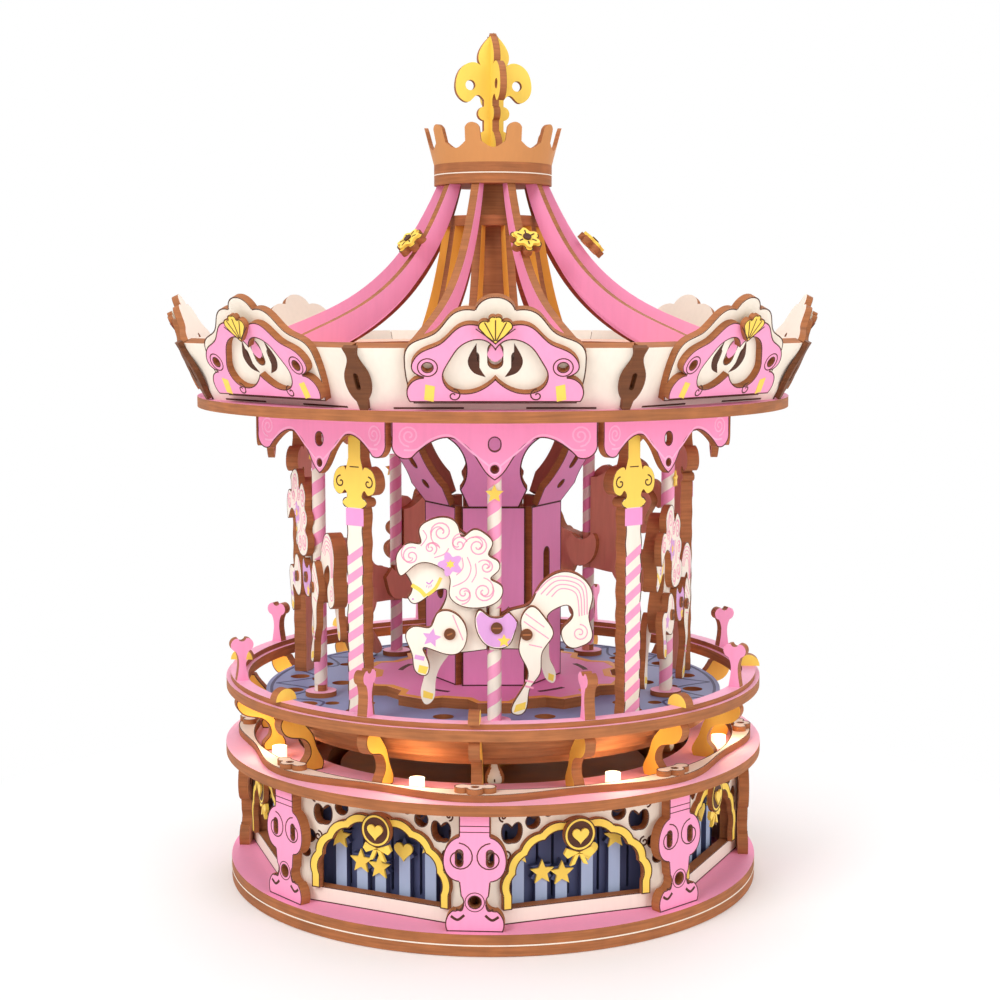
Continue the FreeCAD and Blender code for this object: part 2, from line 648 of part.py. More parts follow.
pad(cylinder, add_sketch(cylinder, "YZ_Plane", [round_hole(cylinder_y, axle_z, size("cylinder_radius"))],
                         bed_x),
    size("cylinder_length"), both_ways=True)
pad(cylinder, add_sketch(cylinder, "YZ_Plane", [round_hole(cylinder_y, axle_z, axle)], bed_x),
    size("cylinder_length") + (RUN + cheek_thick) * 2, both_ways=True)
nodes.append(cylinder)
comb = new_body("tone_comb")
teeth = size("comb_tooth_count")
comb_near = cylinder_y + size("cylinder_radius") + RUN
comb_far = comb_near + size("comb_depth")
comb_outline = [(bed_x - cylinder_half, comb_far), (bed_x + cylinder_half, comb_far)]
tooth_pitch = size("cylinder_length") / teeth
for k in range(int(teeth)):
    right = bed_x + cylinder_half - k * tooth_pitch
    left = right - tooth_pitch * 0.7
    comb_outline += [(right, comb_near), (left, comb_near)]
    if k < teeth - 1:
        comb_outline += [(left, comb_far - size("comb_depth") * 0.5),
                         (right - tooth_pitch, comb_far - size("comb_depth") * 0.5)]
pad(comb, add_sketch(comb, "XY_Plane", [polygon(comb_outline)], BEDPLATE_TOP + size("cylinder_radius")),
    size("comb_thick"))
comb_block = polygon([(bed_x - cylinder_half, comb_far), (bed_x + cylinder_half, comb_far),
                      (bed_x + cylinder_half, comb_far - size("comb_depth") * 0.4),
                      (bed_x - cylinder_half, comb_far - size("comb_depth") * 0.4)])
pad(comb, add_sketch(comb, "XY_Plane", [comb_block], BEDPLATE_TOP), size("cylinder_radius"))
nodes.append(comb)
fly_x = bed_x + size("fly_offset")
fly_y = bed_y - plate_y * 0.6
fly = new_body("governor_fly")
fly_half = axle / 2
fly_low = BEDPLATE_TOP + RUN
vane = polygon([(fly_x - size("fly_radius"), fly_y - fly_half),
                (fly_x + size("fly_radius"), fly_y - fly_half),
                (fly_x + size("fly_radius"), fly_y + fly_half),
                (fly_x - size("fly_radius"), fly_y + fly_half)])
pad(fly, add_sketch(fly, "XY_Plane", [vane], fly_low), size("fly_height"))
pad(fly, add_sketch(fly, "XY_Plane", [round_hole(fly_x, fly_y, axle)], fly_low), size("fly_height") + VENEER)
nodes.append(fly)

# Battery box, its cells and the switch
cell = size("cell_radius")
wall = size("box_wall")
box_half = size("cell_length") / 2 + wall
box_deep = cell * 2 + wall
box_reach = math.sqrt((cam_radius - cam_half - size("box_gap")) ** 2 - box_half ** 2)
box_y = box_deep - box_reach
box = new_body("battery_box")
pad(box, add_sketch(box, "XY_Plane", [polygon([(-box_half, box_y - box_deep), (box_half, box_y - box_deep),
                                               (box_half, box_y + box_deep), (-box_half, box_y + box_deep)])],
                    BASE_TOP), cell * 2 + wall)
bay = polygon([(-box_half + wall, box_y - box_deep + wall), (box_half - wall, box_y - box_deep + wall),
               (box_half - wall, box_y + box_deep - wall), (-box_half + wall, box_y + box_deep - wall)])
cut(box, add_sketch(box, "XY_Plane", [bay], BASE_TOP + wall), cell * 2 + wall, reverse=True)
nodes.append(box)
cells = new_body("battery_cells")
for side in (-1, 1):
    spot = round_hole(box_y + side * cell, BASE_TOP + wall + cell, cell - FIT)
    pad(cells, add_sketch(cells, "YZ_Plane", [spot]), size("cell_length") - FIT, both_ways=True)
nodes.append(cells)
switch_x, switch_y = size("switch_offset"), 0.0
switch_l, switch_d = size("switch_length") / 2, size("switch_depth") / 2
housing = new_body("switch_housing")
pad(housing, add_sketch(housing, "XY_Plane", [polygon([(switch_x - switch_l, switch_y - switch_d),
                                                       (switch_x + switch_l, switch_y - switch_d),
                                                       (switch_x + switch_l, switch_y + switch_d),
                                                       (switch_x - switch_l, switch_y + switch_d)])],
                                                       BASE_TOP),
    size("switch_height"))
slide_half = size("slider_width") / 2
track_half = (size("slider_width") + size("slider_travel")) / 2 + RUN
track = polygon([(switch_x - track_half, switch_y - slide_half - FIT),
                 (switch_x + track_half, switch_y - slide_half - FIT),
                 (switch_x + track_half, switch_y + slide_half + FIT),
                 (switch_x - track_half, switch_y + slide_half + FIT)])
cut(housing, add_sketch(housing, "XY_Plane", [track], BASE_TOP + size("switch_height")),
    size("switch_height") / 2)
nodes.append(housing)
slider_x = switch_x - size("slider_travel") / 2
slider = new_body("switch_slider")
thumb = polygon([(slider_x - slide_half, switch_y - slide_half),
                 (slider_x + slide_half, switch_y - slide_half),
                 (slider_x + slide_half, switch_y + slide_half),
                 (slider_x - slide_half, switch_y + slide_half)])
pad(slider, add_sketch(slider, "XY_Plane", [thumb], BASE_TOP + size("switch_height") / 2 + FIT),
    size("switch_height"))
nodes.append(slider)

# Drive shaft with its pinion, up through the platform
drive = new_body("drive_shaft", TURN)
pad(drive, add_ring(drive, shaft, None, gear_low - VENEER), STAR_TOP + PLY - gear_low + VENEER)
pinion_phase = 180.0 + 180.0 / size("pinion_teeth") - TURN
pad(drive, add_sketch(drive, "XY_Plane", [gear(size("pinion_teeth"), module, pinion_phase)], gear_low),
    size("gear_height"))
pad(drive, add_ring(drive, flange, None, BOARD + PLY + VENEER + FIT), VENEER)
nodes.append(drive)

# Platform: hub, lower ring, pierced disc, star plinth and bushes of the poles
horses = size("horse_count")
horse_circle = size("horse_circle")
pole = size("pole_radius")
bush_r = size("bush_radius")
sleeve = pole + FIT + (bush_r - pole) * 0.4


def around(radius, count, start=0.0):
    """Points round the axis, the first at the front."""
    return [(radius * deg_sin(start + 360.0 * k / count), -radius * deg_cos(start + 360.0 * k / count))
            for k in range(int(count))]


pole_spots = around(horse_circle, horses)
nodes.append(disc("hub_disc", size("hub_radius"), HUB_TOP - PLY, PLY, bore=shaft,
                  holes=[round_hole(x, y, bush_r) for x, y in pole_spots], turn=TURN))
nodes.append(disc("platform_under_ring", size("under_ring_radius"), HUB_TOP, PLY,
                  bore=size("under_ring_bore"), turn=TURN))
lattice = []
for x, y in around(horse_circle + 7.0, horses * 4, 9.0) + around(horse_circle - 7.5, horses * 2, 18.0):
    lattice.append(round_hole(x, y, 3.0))
for x, y in around(horse_circle + 0.4, horses * 2, 12.0) + around(horse_circle + 0.4, horses * 2, 24.0):
    lattice.append(round_hole(x, y, 2.1))
platform_holes = [round_hole(x, y, sleeve + FIT) for x, y in pole_spots]
nodes.append(disc("platform_disc", size("platform_radius"), PLATFORM, PLY, bore=shaft,
                  holes=platform_holes + lattice, turn=TURN))
plinth = new_body("platform_star", TURN)
points = size("star_points")
plinth_points = []
for k in range(int(points)):
    for share, reach in ((-0.32, "star_valley"), (-0.18, "star_radius"), (0.18, "star_radius"),
                         (0.32, "star_valley")):
        at = 360.0 * (k + share) / points
        plinth_points.append((size(reach) * deg_sin(at), -size(reach) * deg_cos(at)))
pad(plinth, add_sketch(plinth, "XY_Plane", [polygon(plinth_points), round_hole(0, 0, shaft)], PLATFORM_TOP),
    PLY)
nodes.append(plinth)
bushes = new_body("pole_bushes", TURN)
bush_sleeve = pad(bushes, add_sketch(bushes, "XY_Plane", [round_hole(0, -horse_circle, sleeve),
                                                          round_hole(0, -horse_circle, pole + FIT)],
                                                          PLATFORM), PLY)
bush_head = pad(bushes, add_sketch(bushes, "XY_Plane", [round_hole(0, -horse_circle, bush_r),
                                                        round_hole(0, -horse_circle, pole + FIT)],
                                                        PLATFORM_TOP), VENEER)
repeat(bushes, [bush_sleeve, bush_head], horses)
nodes.append(bushes)

# Centre column and its flared capital
column_in = size("column_apothem")
column_sides = size("column_sides")
column_half = float(column_in) * deg_tan(180.0 / column_sides) - FIT
column_panel = polygon([(-column_half, STAR_TOP), (column_half, STAR_TOP), (column_half, COLUMN_TOP),
                        (-column_half, COLUMN_TOP)])
nodes.append(plates("column_panels", [column_panel, slot(0, (STAR_TOP + COLUMN_TOP) / 2 + 6.0, 3.2, 15.0)],
                    column_in, THIN, column_sides, turn=TURN))
flare = size("capital_flare")
capital_rise = float(CANOPY - COLUMN_TOP)
capital_tilt = math.degrees(math.atan2(flare, capital_rise))
capital_long = (capital_rise - THIN * deg_sin(capital_tilt)) / deg_cos(capital_tilt)
capital_foot = float(column_in) * deg_tan(180.0 / column_sides) - FIT
capital_head = float(column_in + flare) * deg_tan(180.0 / column_sides) - THIN
capital = mirrored((capital_foot * 0.8, 0.0), [(capital_foot * 1.05, capital_long * 0.2)],
                   [(capital_foot * 0.85, capital_long * 0.45), (capital_foot * 1.2, capital_long * 0.7),
                    (capital_head * 0.9, capital_long * 0.85), (capital_head, capital_long)])
capital_holes = [slot(0, capital_long * 0.5, 2.6, 7.0), round_hole(0, capital_long * 0.22, 1.3),
                 slot(capital_foot * 0.6, capital_long * 0.76, 2.2, 6.0),
                 slot(-capital_foot * 0.6, capital_long * 0.76, 2.2, 6.0)]
nodes.append(plates("capital_brackets", [capital] + capital_holes, column_in + THIN * deg_sin(capital_tilt),
                    THIN,
                    column_sides, turn=TURN, lift=COLUMN_TOP + THIN * deg_sin(capital_tilt),
                    tilt=capital_tilt))

# Twisted posts with fleur-de-lis heads, two layers each
post_half = size("post_width") / 2
fleur_half = size("fleur_width") / 2
fleur_low = size("fleur_base")
fleur_tall = size("fleur_height")


def fleur(half, low, tall_side, stem):
    """Right side of a fleur-de-lis from the band of its foot to its tip."""
    return [[(stem * 1.6, low + tall_side * 0.08), (stem, low + tall_side * 0.16)],
            [(stem, low + tall_side * 0.23)],
            [(half * 0.48, low + tall_side * 0.28), (half * 0.66, low + tall_side * 0.21),
             (half * 0.93, low + tall_side * 0.27), (half, low + tall_side * 0.44),
             (half * 0.84, low + tall_side * 0.6), (half * 0.52, low + tall_side * 0.66),
             (stem * 1.15, low + tall_side * 0.6)],
            [(stem * 1.55, low + tall_side * 0.74), (stem * 1.05, low + tall_side * 0.87),
             (0.01, low + tall_side)]]


def fleur_eyes(half, low, tall_side):
    """Round holes in the middle of the two curled leaves."""
    return [round_hole(side * half * 0.62, low + tall_side * 0.4, half * 0.13) for side in (-1, 1)]


def post(twist):
    """Post whose lower edge waves, with the fleur and a strap up to the canopy."""
    base, head = float(PLATFORM_TOP), float(fleur_low)
    turns = 9
    rope = [(post_half + (twist if k % 2 else 0.0),
             base + (head - base) * k / (turns * 2)) for k in range(1, turns * 2 + 1)]
    runs = fleur(fleur_half, head, fleur_tall, post_half)[:-1]
    strap = [[(post_half * 0.8, head + fleur_tall * 0.8)], [(post_half * 0.8, float(CANOPY))]]
    return mirrored((post_half, base), rope, *runs, *strap)


post_turn = TURN + 180.0 / horses
post_face = size("post_circle")
nodes.append(plates("posts_front", [post(0.35)] + fleur_eyes(fleur_half, fleur_low, fleur_tall), post_face,
                    THIN,
                    horses, turn=post_turn))
nodes.append(plates("posts_back", [post(0.35)], post_face - THIN, THIN, horses, turn=post_turn))

# Canopy disc and the valance under it
mast = size("mast_radius")
nodes.append(disc("canopy_disc", size("canopy_radius"), CANOPY, PLY, bore=mast, turn=TURN))
valance_in = size("valance_apothem")
valance_half = float(valance_in) * deg_tan(HALF_SIDE) - FIT
skirt, end = float(CANOPY), size("valance_end")
drop = size("valance_drop")
valance = mirrored((0, skirt - drop), [(2.6, skirt - drop + 2.2), (valance_half * 0.2, skirt - end + 0.6),
                                       (valance_half * 0.45, skirt - end * 0.5),
                                       (valance_half * 0.68, skirt - end * 0.72),
                                       (valance_half * 0.8, skirt - end)],
                   [(valance_half * 0.92, skirt - end), (valance_half, skirt - end * 0.6)],
                   [(valance_half, skirt)])
valance_holes = [slot(0, skirt - drop * 0.42, 3.0, 3.6), round_hole(0, skirt - drop * 0.82, 0.9)]
nodes.append(plates("valance_panels", [valance] + valance_holes, valance_in, THIN, SIDES, turn=TURN))

# Tilted canopy boards with crests, overlays, shells and joint battens
tilt = size("board_tilt")
board_foot = size("board_foot")
board_long = float(size("board_rise")) / deg_cos(tilt)
foot_half = float(board_foot) * deg_tan(HALF_SIDE) - FIT
head_half = (float(board_foot) + board_long * deg_sin(tilt)) * deg_tan(HALF_SIDE) - FIT
board_z = CANOPY_TOP + PLY * deg_sin(tilt)
nodes.append(plates("canopy_panels", [polygon([(-foot_half, 0), (foot_half, 0), (head_half, board_long),
                                               (-head_half, board_long)])],
                    board_foot, PLY, SIDES, turn=TURN, lift=board_z, tilt=tilt))
crest_half = size("crest_width") / 2
crest_tall = size("crest_height")
crest = mirrored((crest_half * 0.5, 3.0), [(crest_half * 0.9, 3.0)],
                 [(crest_half * 0.98, crest_tall * 0.3), (crest_half, crest_tall * 0.5)],
                 [(crest_half * 0.9, crest_tall * 0.64), (crest_half * 0.66, crest_tall * 0.72),
                  (crest_half * 0.5, crest_tall * 0.86), (crest_half * 0.22, crest_tall * 0.92)],
                 [(crest_half * 0.14, crest_tall * 1.0), (0, crest_tall * 1.03)])
crest_holes = [slot(0, crest_tall * 0.52, 3.4, 7.0), slot(-5.2, crest_tall * 0.47, 1.8, 5.0),
               slot(5.2, crest_tall * 0.47, 1.8, 5.0)]


def layer(order):
    """Foot radius and height of a layer in front of the boards, by the stack below it."""
    return board_foot + order * deg_cos(tilt), board_z - order * deg_sin(tilt)


crest_out, crest_lift = layer(PLY)
nodes.append(plates("crest_plates", [crest] + crest_holes, crest_out, THIN, SIDES, turn=TURN,
                    lift=crest_lift, tilt=tilt))
frame_out = mirrored((crest_half * 0.3, 4.5), [(crest_half * 0.94, 4.5)],
                     [(crest_half * 0.92, crest_tall * 0.32), (crest_half * 0.78, crest_tall * 0.36)],
                     [(crest_half * 0.92, crest_tall * 0.46), (crest_half * 0.82, crest_tall * 0.58),
                      (crest_half * 0.6, crest_tall * 0.66), (crest_half * 0.42, crest_tall * 0.79),
                      (crest_half * 0.18, crest_tall * 0.82)], [(0, crest_tall * 0.76)])
frame_in = mirrored((0, crest_tall * 0.35),
                    [(crest_half * 0.1, crest_tall * 0.28), (crest_half * 0.3, crest_tall * 0.22),
                     (crest_half * 0.52, crest_tall * 0.27), (crest_half * 0.57, crest_tall * 0.38),
                     (crest_half * 0.5, crest_tall * 0.5), (crest_half * 0.38, crest_tall * 0.63),
                     (crest_half * 0.2, crest_tall * 0.69), (0, crest_tall * 0.6)])
overlay_out, overlay_lift = layer(PLY + THIN)
overlay_eyes = [round_hole(side * crest_half * 0.74, crest_tall * 0.45, 1.3) for side in (-1, 1)]
nodes.append(plates("crest_overlays", [frame_out, frame_in] + overlay_eyes, overlay_out, THIN, SIDES,
                    turn=TURN, lift=overlay_lift, tilt=tilt))
shell = size("shell_radius")
shell_y = crest_tall * 0.78
shell_out, shell_lift = layer(PLY + THIN * 2)
shell_fan = mirrored((0, shell_y - shell * 0.8), [(shell * 0.55, shell_y - shell * 0.3)],
                     [(shell, shell_y + shell * 0.25)],
                     [(shell * 0.8, shell_y + shell * 0.75), (shell * 0.4, shell_y + shell * 0.7)],
                     [(shell * 0.2, shell_y + shell * 1.05), (0, shell_y + shell)])
nodes.append(plates("crest_shells", [shell_fan], shell_out, VENEER, SIDES, turn=TURN, lift=shell_lift,
                    tilt=tilt))
corner_tilt = math.degrees(math.atan(deg_tan(tilt) / deg_cos(HALF_SIDE)))
batten_out = (float(board_foot) * deg_cos(HALF_SIDE) + foot_half * deg_sin(HALF_SIDE)
              + PLY * deg_cos(tilt) + FIT * 3)
batten_half = size("batten_width") / 2
batten_long = float(size("board_rise")) / deg_cos(corner_tilt)
batten = mirrored((batten_half * 0.35, 0.0), [(batten_half * 0.45, batten_long * 0.14)],
                  [(batten_half, batten_long * 0.38), (batten_half * 0.9, batten_long * 0.6),
                   (batten_half * 0.4, batten_long * 0.82), (batten_half * 0.5, batten_long * 0.94)],
                  [(batten_half * 0.6, batten_long)])
nodes.append(plates("joint_battens", [batten, slot(0, batten_long * 0.46, 1.4, 5.0)], batten_out, VENEER,
                    SIDES,
                    turn=TURN + HALF_SIDE, lift=CANOPY_TOP + VENEER * deg_sin(corner_tilt), tilt=corner_tilt))

# Roof: rim ring, ribs, collar, flowers, mast and crown
rim_radius = board_foot + (RIM - board_z) * deg_tan(tilt) - size("rim_gap")
nodes.append(disc("rim_ring", rim_radius, RIM, PLY, bore=size("rim_bore"), turn=TURN))
ribs = size("ribs")
rib_low, rib_high = float(RIM_TOP), float(CROWN)
rib_tall = rib_high - rib_low
crown_r = size("crown_radius")
rib_out = crown_r - 0.9
rib_reach = float(rim_radius) - 12.0
bow = rib_reach - rib_out
rib_wide = 4.0
rib_curve = [(rib_out + bow * 0.1, rib_low + rib_tall * 0.78),
             (rib_out + bow * 0.24, rib_low + rib_tall * 0.55),
             (rib_out + bow * 0.5, rib_low + rib_tall * 0.3),
             (rib_out + bow * 0.8, rib_low + rib_tall * 0.14),
             (rib_reach, rib_low + 2.4)]
rib = loop((rib_out - rib_wide, rib_high), [(rib_out, rib_high)], rib_curve, [(rib_reach, rib_low)],
           [(rib_reach - 14.0, rib_low)],
           [(rib_out + bow * 0.5, rib_low + rib_tall * 0.14),
            (rib_out + bow * 0.28, rib_low + rib_tall * 0.33),
            (rib_out + bow * 0.1, rib_low + rib_tall * 0.57), (rib_out - rib_wide, rib_high)])
nodes.append(fins("roof_ribs", [rib], size("rib_thick"), ribs, turn=TURN))
collar_top = CROWN - size("collar_drop")
collar_low = collar_top - PLY
collar_r = rib_out - rib_wide + 2.0
inner_foot = size("rim_bore") * 0.62
inner_high, inner_low = float(collar_low), float(CANOPY_TOP)
inner_tall = inner_high - inner_low
inner_r = float(collar_r)
inner_bow = inner_foot - inner_r
inner_rib = loop((inner_r - 3.6, inner_high), [(inner_r, inner_high)],
                 [(inner_r + inner_bow * 0.16, inner_low + inner_tall * 0.7),
                  (inner_r + inner_bow * 0.45, inner_low + inner_tall * 0.34),
                  (inner_foot, inner_low)], [(inner_foot - 6.0, inner_low)],
                 [(inner_r + inner_bow * 0.16, inner_low + inner_tall * 0.34),
                  (inner_r - 1.8, inner_low + inner_tall * 0.7),
                  (inner_r - 3.6, inner_high)])
nodes.append(fins("inner_ribs", [inner_rib], size("rib_thick"), ribs, turn=TURN))
nodes.append(disc("rib_collar", collar_r, collar_low, PLY, bore=mast, turn=TURN))
flower_r = size("flower_radius")
petals = []
for k in range(6):
    petals.append([((flower_r * reach) * deg_sin(60.0 * k + at), (flower_r * reach) * deg_cos(60.0 * k + at))
                   for at, reach in ((-30.0, 0.62), (-14.0, 0.98), (14.0, 0.98))])
flower_points = [point for petal in petals for point in petal]
flower_tilt = -45.0
flower_z = float(size("flower_height"))
rib_edge = [(rib_out, rib_high)] + rib_curve
flower_at = rib_reach
for upper, lower in zip(rib_edge, rib_edge[1:]):
    if lower[1] <= flower_z <= upper[1]:
        flower_at = upper[0] + (lower[0] - upper[0]) * (upper[1] - flower_z) / (upper[1] - lower[1])
nodes.append(plates("rib_flowers", [blob(flower_points), round_hole(0, 0, flower_r * 0.25)],
                    flower_at + size("flower_stand"), THIN, horses, turn=TURN + 18.0, lift=flower_z,
                    tilt=flower_tilt))
mast_body = new_body("mast", TURN)
mast_top = size("mast_top_radius")
turn_profile(mast_body, [polygon([(0, CANOPY), (mast, CANOPY), (mast, CROWN), (mast_top, CROWN),
                                  (mast_top, CROWN_TOP), (0, CROWN_TOP)])])
nodes.append(mast_body)
nodes.append(disc("crown_ring", crown_r, CROWN, PLY * 2, bore=mast_top, turn=TURN))
crown_wall = size("crown_wall")
crown_tall = size("crown_height")
crown_out = crown_r + size("crown_flare")
band = new_body("crown_band", TURN)
turn_profile(band, [polygon([(crown_r - crown_wall, CROWN_TOP), (crown_r, CROWN_TOP),
                             (crown_out, CROWN_TOP + crown_tall),
                             (crown_out - crown_wall, CROWN_TOP + crown_tall)])])
lobes = size("crown_lobes")
notch_half = math.pi * float(crown_out) / lobes * 0.5
notch_top = float(CROWN_TOP + crown_tall)
notch_side = [(0.55, 0.06), (0.36, 0.17), (0.5, 0.29), (0.6, 0.4)]
notch = loop((-notch_half * 0.92, notch_top + 0.3),
             [(-notch_half * wide_share, notch_top - crown_tall * deep) for wide_share, deep in notch_side]
             + [(0, notch_top - crown_tall * 0.56)]
             + [(notch_half * wide_share, notch_top - crown_tall * deep) for wide_share,
                deep in reversed(notch_side)]
             + [(notch_half * 0.92, notch_top + 0.3)])
notches = cut(band, add_sketch(band, "XZ_Plane", [notch]), crown_out + PLY, reverse=True)
repeat(band, [notches], lobes)
nodes.append(band)
tip_half = size("finial_width") / 2
tip_tall = size("finial_height_top")
tip_stem = size("finial_stem") / 2
tip_eyes = fleur_eyes(tip_half, float(CROWN_TOP) + tip_tall * 0.34, tip_tall * 0.66)
tip_runs = fleur(tip_half, float(CROWN_TOP) + tip_tall * 0.34, tip_tall * 0.66, tip_stem)
fleur_top = mirrored((tip_half * 0.5, CROWN_TOP), [(tip_half * 0.62, CROWN_TOP + tip_tall * 0.12),
                                                   (tip_stem, CROWN_TOP + tip_tall * 0.26)],
                     [(tip_stem, float(CROWN_TOP) + tip_tall * 0.34)], *tip_runs)
finial = new_body("top_finial", TURN + 15.0)
pad(finial, add_sketch(finial, "XZ_Plane", [fleur_top] + tip_eyes), THIN, both_ways=True)
pad(finial, add_sketch(finial, "YZ_Plane", [fleur_top] + tip_eyes), THIN, both_ways=True)
nodes.append(finial)

# Horses: one set of cut layers, placed five times at five heights of the ride
layer_thick = size("horse_layer")
core_thick = pole * 2 + FIT
core_out = horse_circle - pole - FIT / 2
near_out = horse_circle + pole + FIT / 2
far_out = core_out - layer_thick
saddle_z = float(size("saddle_height"))
cut_x = pole + FIT / 2


def lifted(points):
    """Points given about the saddle peg, at their height."""
    return [(x, saddle_z + z) for x, z in points]


def horse_layer(name, loops, out, thickness):
    body = new_body("horse_" + name)
    pad(body, add_sketch(body, "XZ_Plane", loops, out), thickness)
    return body


head_points = [(-cut_x, -6.4), (-8, -7.2), (-15.5, -6), (-17.6, -0.5), (-15, 4.5), (-13.2, 10.2),
               (-17.5, 8.8), (-22.3, 6.4), (-23.8, 8.2), (-22.8, 12), (-25, 16.5), (-21.4, 22), (-17, 27),
               (-12, 28),
               (-7, 25), (-cut_x, 23.5)]
head = loop(lifted(head_points)[0], lifted(head_points)[1:6], lifted(head_points)[6:9],
            lifted(head_points)[9:])
rear_points = [(cut_x, 3.2), (6.7, 5.2), (9.4, 6.2), (11.5, 9.9), (14.4, 13.4), (18.9, 15.3), (24.3, 13.4),
               (27, 8.6),
               (26, 2.6), (27, -2.7), (23.9, -5.6), (19.6, -5.2), (18.4, -0.8), (21.4, 3.2), (20.4, 5.6),
               (17.6, 5.2),
               (14.6, 2.6), (15.8, -1.5), (13.6, -5.2), (7, -6.4), (cut_x, -6.4)]
rear = loop(lifted(rear_points)[0], lifted(rear_points)[1:11], lifted(rear_points)[11:])
mane_points = [(-26.9, 18.4), (-25.4, 22.2), (-22.4, 23.6), (-20.2, 23.4), (-20.6, 26.6), (-17.6, 29.8),
               (-13.4, 30.6), (-9.8, 28.2), (-8.7, 25.2), (-6.2, 27), (-2.4, 26), (-0.4, 23), (-1.5, 20.2),
               (0.9, 18.6), (1.2, 15.8), (-0.9, 13.6), (1.7, 12), (2.1, 8.8), (-0.8, 6.2), (-5, 5.4),
               (-9.6, 6.2), (-12.4, 9), (-12.2, 13.4), (-16.4, 17.4), (-21.6, 17.2), (-25.6, 14.4)]
mane = blob(lifted(mane_points))
foreleg_points = [(-12.2, 4.8), (-8.4, 1.8), (-7.4, -2.4), (-9.4, -6.8), (-14, -7.2), (-19.4, -5.6),
                  (-17.8, -10.2),
                  (-18.8, -13.2), (-21.4, -12.4), (-22.6, -7.6), (-24.2, -1.2), (-21.8, 0.6), (-17.6, 0.4),
                  (-15.8, 4)]
foreleg = blob(lifted(foreleg_points))
far_foreleg = blob(lifted([(-12, -2), (-11.4, -6.4), (-15, -12), (-16.4, -17.6), (-17.2, -21.6), (-19, -22.6),
                           (-20.2, -21), (-19.8, -16), (-18.6, -10), (-17.4, -4)]))
haunch_points = [(8, 4.4), (10.4, 6), (14, 2.6), (16.2, -1.6), (13.2, -6.8), (12.6, -12.6), (9.8, -17),
                 (8.8, -22.6),
                 (7.4, -24.2), (5, -24), (6.6, -18.4), (9, -12), (6.6, -6.4), (7.2, -1)]
haunch = blob(lifted(haunch_points))
far_hind = blob(lifted([(12, -1), (15, -4.5), (15.4, -10), (17, -14), (16.2, -16.6), (14.8, -16), (13, -12),
                        (10.4, -7)]))
saddle = loop(lifted([(-5.4, 2.8)])[0], lifted([(-3.7, 5), (-1.6, 3.4), (1.6, 3), (3.9, 4.6)]),
              lifted([(6.4, 1.6)]),
              lifted([(5.4, -2.2), (3.8, -5), (0.4, -5.8), (-2.6, -4.6), (-4.8, -1.4), (-5.4, 2.8)]))
pegs = [(-12.2, -1.6), (0.6, 0.0), (8.8, -1.8)]
pole_low = size("follower_tip") + size("follower_radius") * 3
pole_parts = new_body("horse_pole")
pad(pole_parts, add_sketch(pole_parts, "XY_Plane", [round_hole(0, -horse_circle, pole)], pole_low),
    size("pole_top") - pole_low)
drop_tip = new_body("horse_follower")
tip_z, tip_r = float(size("follower_tip")), float(size("follower_radius"))
drop_outline = loop((0, tip_z), [(tip_r * 0.72, tip_z + tip_r * 0.3), (tip_r, tip_z + tip_r)],
                    [(tip_r * 0.6, tip_z + tip_r * 2.2), (tip_r * 0.4, tip_z + tip_r * 2.7),
                     (tip_r * 0.36, tip_z + tip_r * 3)],
                    [(0, tip_z + tip_r * 3)])
turn_profile(drop_tip, [drop_outline])
drop_tip.Placement = FreeCAD.Placement(V(0, -horse_circle, 0), FreeCAD.Rotation())
layers = [horse_layer("head", [head], core_out, core_thick), horse_layer("rear", [rear], core_out,
                                                                         core_thick),
          horse_layer("mane", [mane], near_out, layer_thick),
          horse_layer("foreleg", [foreleg], near_out, layer_thick),
          horse_layer("haunch", [haunch], near_out, layer_thick),
          horse_layer("saddle", [saddle], near_out, layer_thick),
          horse_layer("far_foreleg", [far_foreleg], far_out, layer_thick),
          horse_layer("far_hind", [far_hind], far_out, layer_thick),
          horse_layer("far_saddle", [saddle], far_out, layer_thick)]
for number, spot in enumerate(lifted(pegs), start=1):
    layers.append(horse_layer("peg_%d" % number, [round_hole(spot[0], spot[1], size("peg_radius"))],
                              near_out + layer_thick, FIT * 6))
ride_shares = (0.24, 0.24, 0.9, 0.0, 0.9)
first_share = ride_shares[0]
for number, share in enumerate(ride_shares):
    lift = (share - first_share) * size("cam_lift")
    turn = FreeCAD.Rotation(V(0, 0, 1), float(TURN) + 360.0 * number / horses)
    nodes.append(group("horse_%d" % (number + 1), layers + [pole_parts, drop_tip],
                       FreeCAD.Placement(V(0, 0, lift), turn)))

doc.recompute()
failed = [item.Name for item in doc.Objects if "Invalid" in item.State or "Error" in item.State]
for node in nodes:
    if node.Shape.isNull() or not node.Shape.isValid():
        failed.append(node.Label)
if failed:
    raise RuntimeError("failed objects: " + ", ".join(failed))
os.makedirs("parts", exist_ok=True)
for node in nodes:
    node.Shape.exportStep("parts/%s.step" % node.Label)
print("nodes", len(nodes), "solids", sum(len(node.Shape.Solids) for node in nodes))
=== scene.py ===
# Carousel music box of cut and painted plywood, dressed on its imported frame.
import json
import math
import bpy
import bmesh
from mathutils import Matrix, Vector

